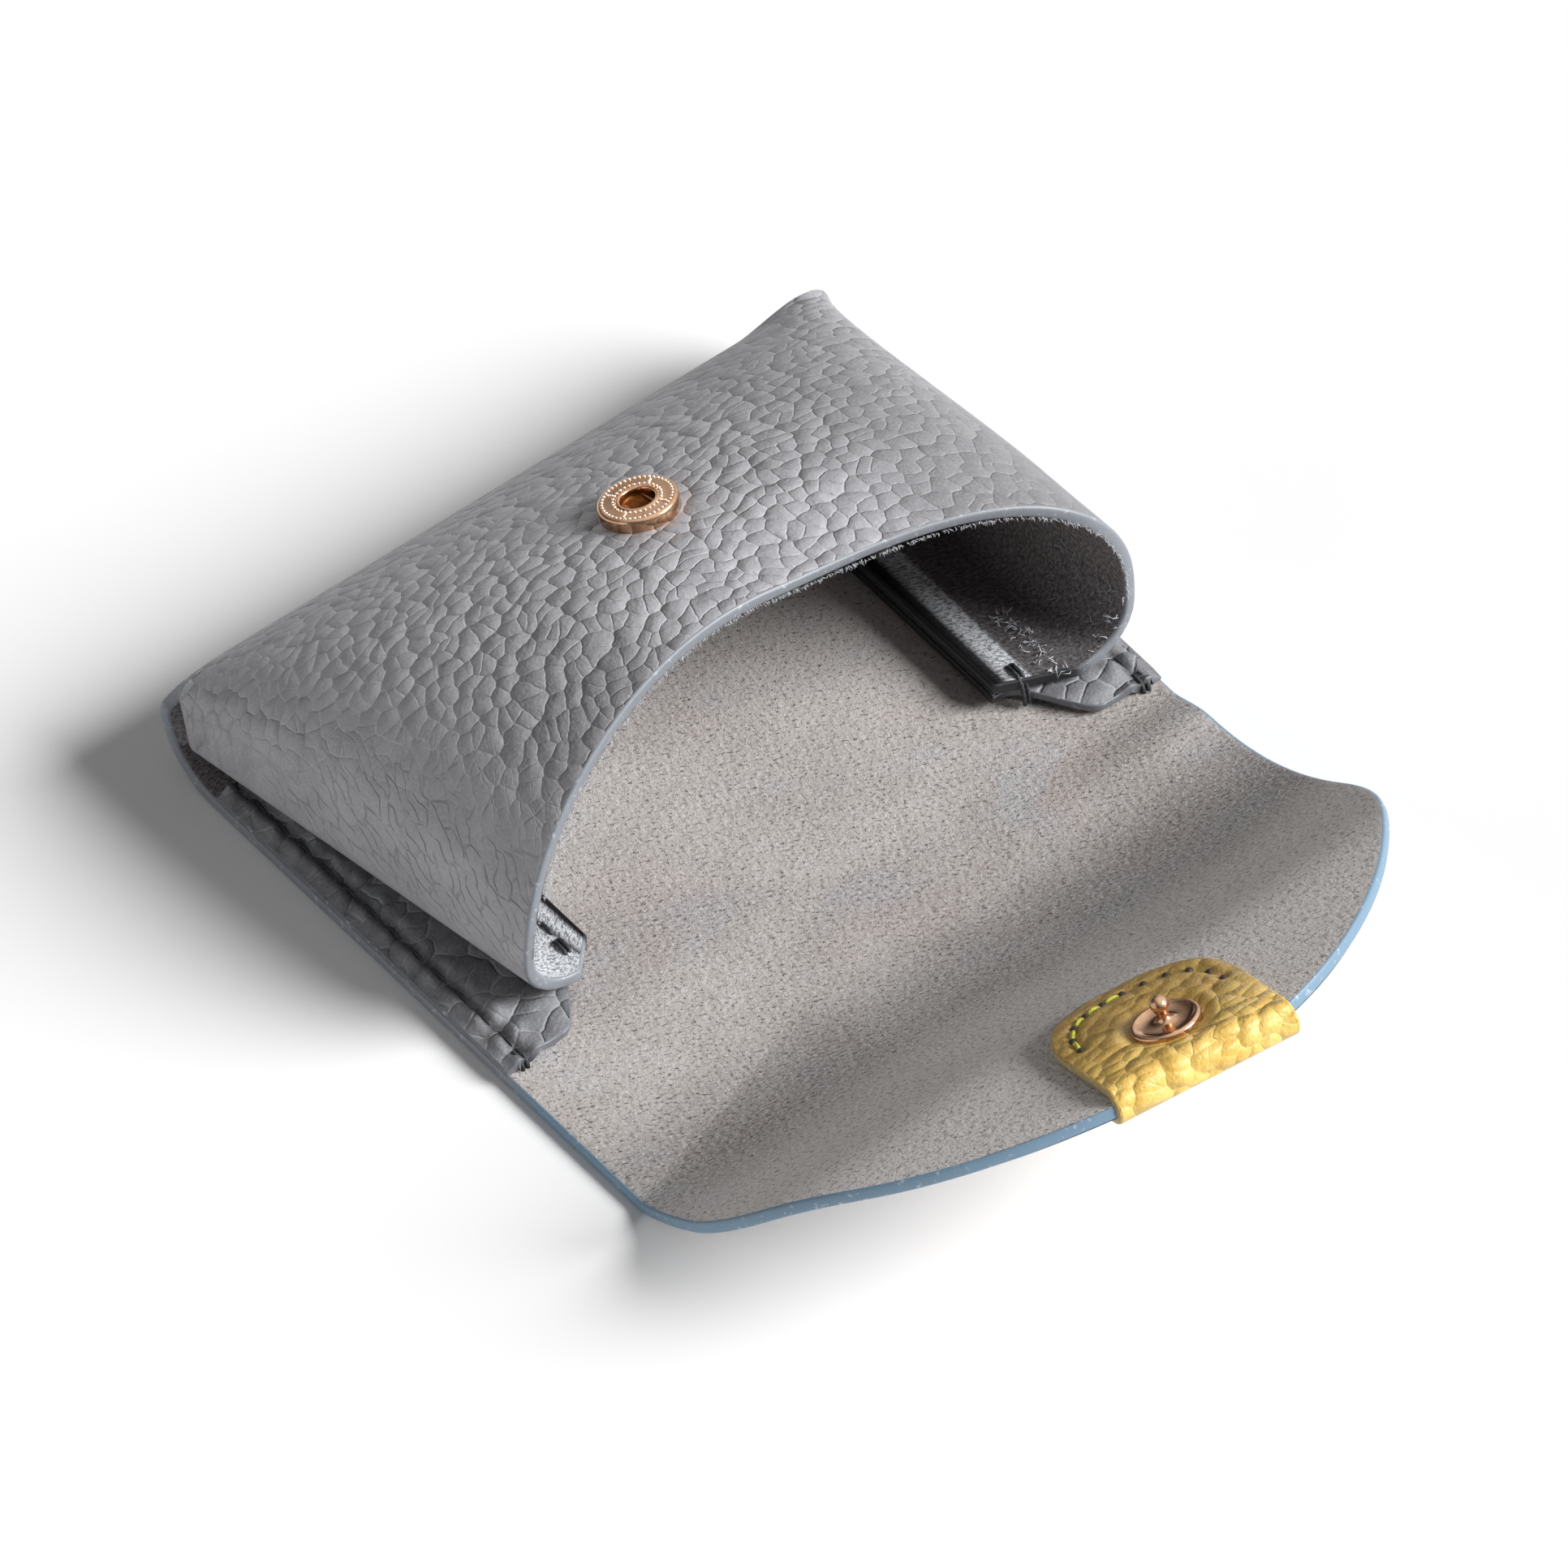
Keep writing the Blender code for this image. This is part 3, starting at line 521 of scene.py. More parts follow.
def suede(name, light, dark, speck, frost, nap):
    """The leather's flesh side: short nap with dark and pale specks and drifting tints."""
    look = Look(name, 0.95, specular=0.1)
    place = look.sheet_place()
    drift = look.noise(look.scaled(place, (0.6, 1.0, 1.0)), 0.055, 3.0, 0.6)
    blotch = look.noise(place, 0.45, 3.0, 0.6)
    blush = look.noise(place, 0.045)
    chill = look.noise(look.scaled(place, (1.0, 1.7, 1.0)), 0.05)
    streaks = look.noise(look.scaled(place, (1.5, 0.7, 1.0)), 0.7, 3.0, 0.7)
    colour = look.layered(
        look.mix(look.ramp(drift, 0.32, 0.68), light, dark),
        (look.ramp(blotch, 0.40, 0.68, 0.0, 0.35), dark),
        (look.ramp(blush, 0.52, 0.72, 0.0, 0.25), srgb(182, 160, 152)),
        (look.ramp(chill, 0.52, 0.68, 0.0, 0.25), srgb(160, 170, 184)),
        (look.ramp(streaks, 0.50, 0.64, 0.0, 0.40), dark),
        # Painted shade over the flap's curl, and painted light over its far end and over the back inside the
        # mouth.
        (look.times(look.mask("shade"), 0.40), srgb(104, 97, 96)),
        (look.times(look.mask("pale"), 0.9), srgb(228, 221, 217)),
    )
    colour, pits = speckled(look, place, colour, speck, frost)
    # A painted sheen on the nap where the sheen mask and a noise say so: pale glints as painted highlights,
    # dark specks, and a pale grey over the charcoal lining. The black mask turns the charcoal near black,
    # partly as painted shade.
    sheen_and_specks = look.ramp(look.math("ADD", look.mask("frost"), look.noise(place, 0.9, 3.0, 0.7)), 0.85, 1.15)
    glints = look.ramp(look.noise(place, 1.6, 3.0, 0.7), 0.52, 0.62, 0.0, 0.55)
    dust = look.ramp(look.noise(place, 1.3, 3.0, 0.7), 0.54, 0.64, 0.0, 0.55)
    brushed = look.noise(look.scaled(place, (1.3, 2.8, 1.0)), 1.0, 4.0, 0.7)
    charcoal = look.layered(
        look.mix(look.ramp(brushed, 0.35, 0.7), srgb(102, 97, 98), srgb(170, 165, 167)),
        (sheen_and_specks, look.mix(look.ramp(brushed, 0.42, 0.54), srgb(138, 141, 146), srgb(222, 225, 229))),
        (look.mask("black"), srgb(22, 22, 24)),
    )
    colour = look.layered(
        colour,
        (look.times(glints, sheen_and_specks), frost),
        (look.times(dust, sheen_and_specks), speck),
        (look.mask("inside"), charcoal),
    )
    height = look.math("SUBTRACT", look.noise(place, 1.4, 4.0, 0.7), look.times(pits, 0.9))
    height = look.math("SUBTRACT", height, look.times(streaks, 1.2))
    return look.finish(colour, look.bump(height, nap))


def edge_paint(name, plain, blue, black):
    """Painted leather edges: a satin coat with a few scuffs, blue round the flap and black inside."""
    look = Look(name, 0.42)
    place = look.object_place()
    wear = look.noise(place, 900.0, 3.0, 0.6)
    colour = look.layered(
        look.mix(look.mask("tint"), plain, blue),
        (look.ramp(wear, 0.60, 0.70, 0.0, 0.45), srgb(214, 220, 226)),
        (look.mask("dark"), black),
    )
    return look.finish(colour, look.bump(look.noise(place, 260.0, 3.0, 0.6), PAINT_RELIEF))


def thread_look(name, light, dark):
    """Waxed two-ply thread."""
    look = Look(name, 0.6)
    strands = look.noise(look.object_place(), 2600.0, 2.0, 0.6)
    colour = look.mix(look.ramp(strands, 0.35, 0.65), dark, light)
    return look.finish(colour, look.bump(strands, THREAD_RELIEF))


def plating(name, light, dark, roughness):
    """Polished plating with faint smudges."""
    look = Look(name, roughness, 1.0)
    smudge = look.noise(look.object_place(), 420.0, 3.0, 0.6)
    colour = look.mix(look.ramp(smudge, 0.35, 0.7), light, dark)
    gloss = look.ramp(smudge, 0.3, 0.75, roughness, roughness + 0.12)
    return look.finish(colour, look.bump(smudge, PLATING_RELIEF), gloss)


def floor_look():
    """A white floor with the faintest mottle."""
    look = Look("white floor", 0.9, specular=0.0)
    share = look.ramp(look.noise(look.object_place(), 3.0, 1.0), 0.0, 1.0, 0.0, 0.05)
    return look.finish(look.mix(share, srgb(252, 252, 252), srgb(250, 250, 250)))


# The pouch's lines

def fold_point(angle):
    """The grain side at the lower fold; the angle runs from a quarter turn down (0 is outermost)."""
    return BACK_FLAT + FOLD_DEPTH * math.cos(angle), FOLD_HEIGHT + FOLD_HEIGHT * math.sin(angle)


def crown_curve(angle):
    """The grain side above the fold's outermost point, up to the crown."""
    out, up = rounded(angle, CROWN_POWER)
    return CROWN_Y + (FOLD_REACH - CROWN_Y) * out, FOLD_HEIGHT + (POUCH_HEIGHT - FOLD_HEIGHT) * up


def crown_line(share):
    """The front's crown line, from the top of the fold (0) to the lip (1)."""
    if share < CURVED_LENGTH_SHARE:
        return crown_curve(lerp(FOLD_TOP_ANGLE, QUARTER_TURN, share / CURVED_LENGTH_SHARE))
    flat = (share - CURVED_LENGTH_SHARE) / (1 - CURVED_LENGTH_SHARE)
    return lerp(CROWN_Y, LIP_Y, flat), POUCH_HEIGHT


def path_lengths(points):
    """The length along a polyline from its start to each of its points."""
    return [0.0, *accumulate(map(math.dist, points, points[1:]))]


def evenly(points, count):
    """Points spaced evenly along a polyline, its two ends included."""
    lengths = path_lengths(points)
    places = np.linspace(0, lengths[-1], count + 1)
    return list(zip(*[np.interp(places, lengths, ways).tolist() for ways in zip(*points)]))


def half_section(share, side):
    """One side of the front's section: (x, y, z) from the crown down the wall to the flange's edge."""
    crown_y, crown_z = crown_line(share)
    far_y = crown_line(0)[0]
    progress = (far_y - crown_y) / (far_y - LIP_Y)
    half_width = HALF_WIDTH - lerp(FAR_INSET, MOUTH_INSET, progress)
    if side > 0:
        half_width -= RIGHT_WAIST * math.sin(HALF_TURN * min(progress, 1.0) ** RIGHT_WAIST_POWER)
    middle = MOUTH_SHIFT * progress
    turn = lerp(FAR_TURN_RADIUS, MOUTH_TURN_RADIUS, progress)
    wall_y = lerp(FAR_WALL_Y, MOUTH_WALL_Y, progress)
    mouth_power = RIGHT_MOUTH_POWER if side > 0 else LEFT_MOUTH_POWER
    power = 1 / lerp(1 / FAR_SECTION_POWER, 1 / mouth_power, progress ** SECTION_BLEND_POWER)
    wall_foot = FLANGE_HEIGHT + turn
    nub_height = CORNER_NUB * (1 - clamp_share(progress)) ** CORNER_NUB_POWER
    arch = []
    for step in range(CURVE_SAMPLES + 1):
        angle = QUARTER_TURN * (1 - step / CURVE_SAMPLES)
        out, up = rounded(angle, power)
        z = lerp(wall_foot, crown_z, up)
        far_rise = ((z - FLANGE_HEIGHT) / (crown_z - FLANGE_HEIGHT)) ** FAR_EDGE_POWER
        mouth_rise = 1 - out ** SCOOP_POWER
        y = lerp(wall_y, crown_y, lerp(far_rise, mouth_rise, progress))
        lean = side * LEAN * progress ** LEAN_POWER * out * (1 - out) ** 2
        nub = nub_height * up * eased(side * out, NUB_START_SHARE, NUB_LENGTH_SHARE)
        arch.append((middle + side * half_width * out, y, z - lean + nub))
    section = evenly(arch, ARCH_COLUMNS)
    foot_y = section[-1][1]
    for step in range(1, TURN_COLUMNS + 1):
        angle = QUARTER_TURN * step / TURN_COLUMNS
        x = middle + side * (half_width - turn * (1 - math.cos(angle)))
        section.append((x, lerp(foot_y, wall_y, step / TURN_COLUMNS), wall_foot - turn * math.sin(angle)))
    turn_x = section[-1][0]
    for step in range(1, FLANGE_COLUMNS + 1):
        along = step / FLANGE_COLUMNS
        x = lerp(turn_x, side * SEAM_X, along)
        section.append((x, wall_y + FLANGE_MOUTH_SLANT * along * progress, FLANGE_HEIGHT))
    return section


def back_line():
    """The back's grain side from the flap's split to the top of the fold, as (y, z) points."""
    start = HINGE_Y - SPLIT_DISTANCE
    flat_rows = math.ceil((BACK_FLAT - start) / BACK_STEP)
    flat = [(lerp(start, BACK_FLAT, row / flat_rows), 0.0) for row in range(flat_rows)]
    fold = [fold_point(-QUARTER_TURN * (1 - row / FOLD_ROWS)) for row in range(FOLD_ROWS)]
    return flat + fold + [crown_curve(FOLD_TOP_ANGLE * row / FOLD_TOP_ROWS) for row in range(FOLD_TOP_ROWS)]


# Meshes of leather

def add_object(name, data):
    """A new object in the scene."""
    obj = bpy.data.objects.new(name, data)
    bpy.context.scene.collection.objects.link(obj)
    return obj


class Leather:
    """A sheet of leather being cut: points by row and column, with their place on the flat hide and masks."""

    def __init__(self):
        self.points = {}
        self.flat = {}
        self.masks = {}

    def add(self, row, column, point, flat, **shares):
        self.points[row, column] = Vector(point)
        self.flat[row, column] = flat
        self.masks[row, column] = shares

    def sew(self, name, thickness, materials, edge_round, raw_row=None, painted=True):
        """The sheet as a solid whose edges are rounded, but for raw_row's, and painted or left as leather."""
        keys = list(self.points)
        index = {key: number for number, key in enumerate(keys)}
        faces = []
        for row, column in keys:
            corners = [(row, column), (row + 1, column), (row + 1, column + 1), (row, column + 1)]
            if all(corner in index for corner in corners):
                faces.append([index[corner] for corner in corners])
        mesh = bpy.data.meshes.new(name)
        mesh.from_pydata(list(self.points.values()), [], faces)
        place = mesh.uv_layers.new(name="sheet")
        for loop in mesh.loops:
            across, along = self.flat[keys[loop.vertex_index]]
            place.data[loop.index].uv = (across * MM_PER_METRE, along * MM_PER_METRE)
        for mask in self.masks[keys[0]]:
            layer = mesh.attributes.new(mask, "FLOAT", "POINT")
            layer.data.foreach_set("value", [shares[mask] for shares in self.masks.values()])
        for material in materials:
            mesh.materials.append(material)
        self.mark_rim(mesh, keys, raw_row)
        obj = add_object(name, mesh)
        shell = obj.modifiers.new("thickness", "SOLIDIFY")
        shell.thickness = thickness
        shell.offset = -1
        shell.use_even_offset = True
        shell.material_offset = 1
        shell.material_offset_rim = 2
        rounding = obj.modifiers.new("edges", "BEVEL")
        rounding.limit_method = "WEIGHT"
        rounding.width = edge_round
        rounding.segments = 3
        rounding.use_clamp_overlap = False
        rounding.material = 2 if painted else -1
        return settle(obj)

    @staticmethod
    def mark_rim(mesh, keys, raw_row):
        """Gives the sheet's free edges a bevel weight, but for those along raw_row."""
        bm = bmesh.new()
        bm.from_mesh(mesh)
        weights = []
        for edge in bm.edges:
            raw = all(keys[vert.index][0] == raw_row for vert in edge.verts)
            weights.append(1.0 if edge.is_boundary and not raw else 0.0)
        bm.free()
        layer = mesh.attributes.new("bevel_weight_edge", "FLOAT", "EDGE")
        layer.data.foreach_set("value", weights)


def settle(obj):
    """Applies an object's modifiers and shades it smooth."""
    depsgraph = bpy.context.evaluated_depsgraph_get()
    mesh = bpy.data.meshes.new_from_object(obj.evaluated_get(depsgraph))
    obj.modifiers.clear()
    obj.data = mesh
    mesh.shade_smooth()
    mesh.set_sharp_from_angle(angle=SHARP_ANGLE)
    return obj


def corner_column(far_row):
    """The last column of the front that the fold's band runs into."""
    limit = CORNER_WIDTH_SHARE * (HALF_WIDTH - FAR_INSET)
    return max(column for column, point in enumerate(far_row[:ARCH_COLUMNS]) if point[0] < limit)


def masks(**shares):
    """The shares that the materials read at a point of a sheet: none of each but full grain, unless given."""
    # shade is painted shade, pale is painted light, and the sheen mask gives the nap a painted sheen. black
    # is partly black paint and partly painted shade. inside is the charcoal lining, and under the strips it
    # is painted shade.
    plain = dict.fromkeys(("crease", "shade", "pale", "inside", "frost", "black", "tint", "dark"), 0.0)
    return {"grain": 1.0, **plain, **shares}


def blue_share(y):
    """How blue the edge's paint is: it is blue round the flap."""
    return eased(y, BLUE_START, -BLUE_LENGTH)


def back_masks(x, y, row_share):
    """Masks over the back and the bottom fold: charcoal inside the fold, and under the strips as painted
    shade.
    """
    fold = eased(row_share, *FOLD_DARK_ROW_SHARES)
    # Painted shade: charcoal under the strips. Painted light: the suede is lightened inside the mouth, more
    # to the right.
    covered = eased(abs(x), SEAM_X + COVER_INSET, COVER_FADE) * eased(y, COVER_Y, COVER_LENGTH)
    pale = eased(y, BACK_PAINTED_LIGHT_Y, BACK_PAINTED_LIGHT_LENGTH) * lerp(0.20, 0.48, eased(x, BACK_PAINTED_LIGHT_X, BACK_PAINTED_LIGHT_WIDTH))
    return masks(inside=max(fold, covered), pale=pale, tint=blue_share(y))


def front_masks(column_share, row_share, side):
    """Masks over the front, from the crown (0) over the walls' feet (1) to the flanges' edges.

    The walls' grain is stretched out, and the flanges' nap inside gets a painted sheen. Painted shade lies
    over both sides of the front, more towards the mouth, over the right flange, and along the left flange's
    groove.
    """
    start = lerp(*STRETCH_START_SHARES, smooth(row_share / STRETCH_ROW_SHARE))
    stretch = eased(column_share, start, STRETCH_LENGTH_SHARE)
    edge = eased(column_share, *FLANGE_EDGE_SHARES)
    grain = 1 - 0.86 * stretch
    if side > 0:
        grain *= 1 - 0.35 * eased(column_share, *RIGHT_PLAIN_SHARES)
        # Painted shade over the right side, a painted sheen by the flange's edge and painted shade over the
        # flange.
        shade = lerp(0.3, 0.9, row_share) * eased(column_share, *RIGHT_SHADE_SHARES)
        frost = eased(column_share, *RIGHT_PAINTED_SHEEN_SHARES)
        flange_shade = 0.5 * eased(column_share, *RIGHT_FLANGE_SHADE_SHARES) * (1 - frost)
        dark = eased(column_share, *RIGHT_DARK_SHARES)
        return masks(grain=grain, shade=shade, inside=1.0, frost=frost, black=max(edge, flange_shade), dark=dark)
    # A painted sheen on the left flange's nap, painted shade along its groove and near the left of the mouth.
    frost = eased(column_share, *LEFT_PAINTED_SHEEN_SHARES) * eased(row_share, *LEFT_PAINTED_SHEEN_ROW_SHARES)
    groove = math.exp(-((column_share - FLANGE_GROOVE_SHARE) / FLANGE_GROOVE_WIDTH_SHARE) ** 2)
    shade = eased(column_share, *LEFT_SHADE_SHARES) * eased(row_share, *LEFT_SHADE_ROW_SHARES)
    shade *= 0.95 * (1 - stretch)
    crease = stretch * eased(column_share, *LEFT_CREASE_SHARES) * smooth(row_share / LEFT_CREASE_ROW_SHARE)
    return masks(grain=grain, crease=crease, shade=shade, inside=1.0, frost=frost,
                 black=max(edge, groove), dark=edge)


def make_pouch(materials):
    """Back, bottom fold and front in one piece, up to the flap's split."""
    sheet = Leather()
    line = back_line()
    rows = len(line)
    start = line[0][0]
    top_y, top_z = crown_line(0)
    lengths = path_lengths(line + [(top_y, top_z)])
    far = {side: half_section(0, side) for side in (-1, 1)}
    corner = corner_column(far[1])
    for row, (y, z) in enumerate(line):
        row_share = row / rows
        taper = eased(row_share, TAPER_START_SHARE, 1 - TAPER_START_SHARE)
        join = eased(row_share, JOIN_START_SHARE, 1 - JOIN_START_SHARE)
        for column in range(-corner, corner + 1):
            side = 1 if column >= 0 else -1
            x, far_y, far_z = far[side][abs(column)]
            x *= lerp(HALF_WIDTH / abs(far[side][corner][0]), 1.0, taper)
            height = max(z + (far_z - top_z) * join + flap_twist(x, HINGE_Y - y), 0.0)
            point = (x, y + (far_y - top_y) * join, height)
            sheet.add(row, column, point, (x, start + lengths[row]), **back_masks(x, y, row_share))
    crowns = [crown_line(step / FRONT_ROWS) for step in range(FRONT_ROWS + 1)]
    columns = ARCH_COLUMNS + TURN_COLUMNS + FLANGE_COLUMNS
    for step, crown_length in enumerate(path_lengths(crowns)):
        row_share = step / FRONT_ROWS
        for side in (-1, 1):
            section = half_section(row_share, side)
            across = path_lengths(section)
            for column in range(0 if side > 0 else 1, columns + 1):
                flat = (side * across[column], start + lengths[-1] + crown_length)
                shares = front_masks(column / ARCH_COLUMNS, row_share, side)
                sheet.add(rows + step, side * column, section[column], flat, **shares)
    return sheet.sew("pouch_leather", LEATHER, materials, EDGE_ROUND, raw_row=0)


# The flap

def flap_slope(distance):
    """How far the flap has curled up from the table at a distance from its hinge."""
    curl = math.sin(QUARTER_TURN * clamp_share((distance - CURL_START) / (CURL_END - CURL_START)))
    relief = smooth((distance - RELIEF_START) / (RELIEF_END - RELIEF_START))
    return CURL_ANGLE * curl - RELIEF_ANGLE * relief


def flap_profile(distance):
    """How far out and up the flap's suede side is at a distance from its hinge."""
    step = distance / PROFILE_STEPS
    out = 0.0
    up = 0.0
    for index in range(PROFILE_STEPS):
        slope = flap_slope((index + 0.5) * step)
        out += math.cos(slope) * step
        up += math.sin(slope) * step
    return out, up


def flap_point(x, distance, height):
    """A point over the flap: across, along the leather from its hinge, and above its suede side."""
    out, up = flap_profile(distance)
    slope = flap_slope(distance)
    y = HINGE_Y - out + height * math.sin(slope)
    z = LEATHER + up + height * math.cos(slope)
    return Vector((x, y, z))


def flap_twist(x, distance):
    """How far the flap's sides lie above (right) or below (left) its even curl."""
    across = max(abs(x) - TWIST_FREE_WIDTH, 0.0) / (HALF_WIDTH - TWIST_FREE_WIDTH)
    along = (smooth(distance / TWIST_EDGE_LENGTH) + smooth(distance / TWIST_LENGTH)) / 2
    return math.copysign(TWIST * across ** TWIST_POWER * along, x)


def flap_outline(angle):
    """The flap's rounded end: half width and distance from the hinge, from its sides (0) to its tip."""
    across, along = rounded(angle, FLAP_ROUND_POWER)
    return HALF_WIDTH * across, FLAP_STRAIGHT + (FLAP_LENGTH - FLAP_STRAIGHT) * along


def flap_rows():
    """The flap's half width and distance from the hinge at each row, from its split to its tip."""
    rows = [(HALF_WIDTH, lerp(SPLIT_DISTANCE, FLAP_STRAIGHT, row / FLAP_STRAIGHT_ROWS))
            for row in range(FLAP_STRAIGHT_ROWS)]
    return rows + [flap_outline(FLAP_TIP_ANGLE * row / FLAP_ROUND_ROWS) for row in range(FLAP_ROUND_ROWS + 1)]


def make_flap(materials):
    """The flap from its split to its rounded tip."""
    sheet = Leather()
    for row, (half_width, distance) in enumerate(flap_rows()):
        y = HINGE_Y - distance
        # Painted shade over the curl, then painted light and a painted sheen over the far end.
        far = eased(distance, FLAP_PAINTED_LIGHT_START, FLAP_PAINTED_LIGHT_LENGTH)
        shade = eased(distance, SHADE_START, SHADE_LENGTH) * (1 - far)
        shares = masks(shade=shade, pale=far, frost=0.8 * far, tint=blue_share(y))
        for column in range(FLAP_COLUMNS + 1):
            x = lerp(half_width, -half_width, column / FLAP_COLUMNS)
            point = flap_point(x, distance, -LEATHER)
            point.z = max(point.z + flap_twist(x, distance), 0.0)
            sheet.add(row, column, point, (x, y), **shares)
    return sheet.sew("flap_leather", LEATHER, materials, EDGE_ROUND, raw_row=0)


# The tab

def leaf_rows():
    """A leaf of the tab, from its half-round end to its roll: half width and distance from the hinge."""
    rows = []
    for row in range(LEAF_ROUND_ROWS):
        across, along = rounded(LEAF_TIP_ANGLE * (1 - row / LEAF_ROUND_ROWS), TAB_ROUND_POWER)
        rows.append((TAB_WIDTH / 2 * across, TAB_SHOULDER - (TAB_SHOULDER - TAB_START) * along))
    for row in range(LEAF_STRAIGHT_ROWS + 1):
        rows.append((TAB_WIDTH / 2, lerp(TAB_SHOULDER, TAB_END, row / LEAF_STRAIGHT_ROWS)))
    return rows


def tab_lines():
    """The lines across the tab: half width, distance, height, place along the leather and share of relief."""
    leaf = leaf_rows()
    lines = [(half_width, distance, TAB_TOP, distance, 1.0) for half_width, distance in leaf]
    for row in range(1, ROLL_ROWS):
        angle = HALF_TURN * row / ROLL_ROWS
        distance = TAB_END + ROLL_RADIUS * math.sin(angle)
        height = -LEATHER / 2 + ROLL_RADIUS * math.cos(angle)
        along = TAB_END + ROLL_RADIUS * angle
        lines.append((TAB_WIDTH / 2, distance, height, along, (1 + math.cos(angle)) / 2))
    full_length = 2 * TAB_END + ROLL_RADIUS * HALF_TURN
    for half_width, distance in reversed(leaf):
        lines.append((half_width, distance, TAB_BOTTOM, full_length - distance, 0.0))
    return lines


def tab_seam_path():
    """The line of the tab's seam: (x, distance from the flap's hinge)."""
    half = TAB_WIDTH / 2 - TAB_SEAM_INSET
    reach = TAB_SHOULDER - TAB_START - TAB_SEAM_INSET
    path = []
    for step in range(CURVE_SAMPLES + 1):
        across, along = rounded(HALF_TURN * step / CURVE_SAMPLES, TAB_ROUND_POWER)
        path.append((-half * across, TAB_SHOULDER - reach * along))
    return path


def tab_relief(x, distance, seam):
    """How far the tab's leaf stands above its plain height: puffed, with a groove along its seam."""
    nearest = min(math.dist((x, distance), point) for point in seam)
    groove = TAB_GROOVE_DEPTH * math.exp(-(nearest / TAB_GROOVE_WIDTH) ** 2)
    inner = clamp_share(1 - (abs(x) / (TAB_WIDTH / 2)) ** TAB_PUFF_POWER)
    seat = eased(math.dist((x, distance), (0, STUD_DISTANCE)), STUD_RADIUS, TAB_SEAT_WIDTH)
    return TAB_PUFF * inner * seat * eased(distance, TAB_START, TAB_PUFF_LENGTH) - groove


def tab_point(x, distance, height):
    """A point over the tab, which is sewn on a little turned about its stud."""
    along = distance - STUD_DISTANCE
    turned_x = x * math.cos(TAB_TURN) - along * math.sin(TAB_TURN)
    turned_distance = STUD_DISTANCE + x * math.sin(TAB_TURN) + along * math.cos(TAB_TURN)
    return flap_point(turned_x, turned_distance, height)


def make_tab(materials):
    """The tab: a strap folded round the flap's tip, half-round at both ends."""
    sheet = Leather()
    seam = tab_seam_path()[::TAB_SEAM_SKIP]
    for row, (half_width, distance, height, along, relief_share) in enumerate(tab_lines()):
        # Painted shade over the upper leaf round the stud, where the grain is also fainter.
        shade = relief_share * (1 - eased(distance, TAB_SHADE_START, TAB_SHADE_LENGTH))
        shares = masks(shade=shade, grain=1 - 0.5 * shade)
        for column in range(TAB_COLUMNS + 1):
            x = lerp(-half_width, half_width, column / TAB_COLUMNS)
            relief = relief_share * tab_relief(x, distance, seam)
            sheet.add(row, column, tab_point(x, distance, height + relief), (x, along), **shares)
    return sheet.sew("tab_leather", TAB_LEATHER, materials, TAB_EDGE_ROUND, painted=False)


# Gusset strips

def strip_start(x):
    """Where a strip's mouth end lies, at a distance x from the wallet's middle."""
    return STRIP_SLANT * eased(x, STRIP_SQUARE_X, -STRIP_SLANT_WIDTH)


def strip_relief(x, y):
    """How far a strip swells and sinks beside its outer seam, whose stitches pucker it."""
    stitch = (y - SEAM_END_MARGIN) / BODY_STITCH_PITCH
    away = abs(x - OUTER_SEAM_X - SEAM_WANDER * math.sin(FULL_TURN * stitch))
    groove = math.exp(-(away / GROOVE_WIDTH) ** 2)
    swell = math.exp(-((away - PUFF_PLACE) / PUFF_WIDTH) ** 2) * eased(x, HALF_WIDTH, -PUFF_EDGE_WIDTH)
    pucker = lerp(1.0, math.cos(FULL_TURN * (stitch - 0.5)), PUCKER_SHARE)
    return PUFF * swell * pucker - GROOVE * groove


def strip_top(x, y):
    """The height of a strip's grain side."""
    rise = GUSSET_RISE * (HALF_WIDTH - x) / GUSSET_WIDTH
    settled = (GAP + EDGE_ROUND) * eased(x, HALF_WIDTH - SETTLED_WIDTH, SETTLED_WIDTH)
    return GUSSET_SEAT + GUSSET_LEATHER + rise + strip_relief(x, y) - settled


def make_strip(name, side, materials):
    """A strip of darker leather from the back's edge in to the flange, puckered along its seam."""
    sheet = Leather()
    for row in range(STRIP_ROWS + 1):
        for column in range(STRIP_COLUMNS + 1):
            x = lerp(SEAM_X, HALF_WIDTH, column / STRIP_COLUMNS)
            y = lerp(strip_start(x), GUSSET_LENGTH, row / STRIP_ROWS)
            droop = EDGE_DROOP * (1 - eased(y, strip_start(x), DROOP_LENGTH))
            # The seam's groove is darkened on the grain and on the cut end: painted shade in the groove. The
            # inner edge's paint is black.
            groove = math.exp(-((x - OUTER_SEAM_X) / GROOVE_WIDTH) ** 2)
            dark = max(groove, eased(x, SEAM_X + DARK_EDGE_WIDTH, -DARK_EDGE_FADE))
            shares = masks(grain=eased(x, HALF_WIDTH, -PLAIN_EDGE_WIDTH), black=groove, dark=dark)
            place = (side * x, y, strip_top(x, y) - droop)
            sheet.add(row, -side * column, place, (side * x, y), **shares)
    return sheet.sew(name, GUSSET_LEATHER, materials, STRIP_EDGE_ROUND)


# Threads and fibres

def mesh_piece(name, bm, material):
    """A smooth object from a bmesh, which is used up."""
    mesh = bpy.data.meshes.new(name)
    bm.to_mesh(mesh)
    bm.free()
    mesh.materials.append(material)
    mesh.shade_smooth()
    mesh.set_sharp_from_angle(angle=SHARP_ANGLE)
    return add_object(name, mesh)


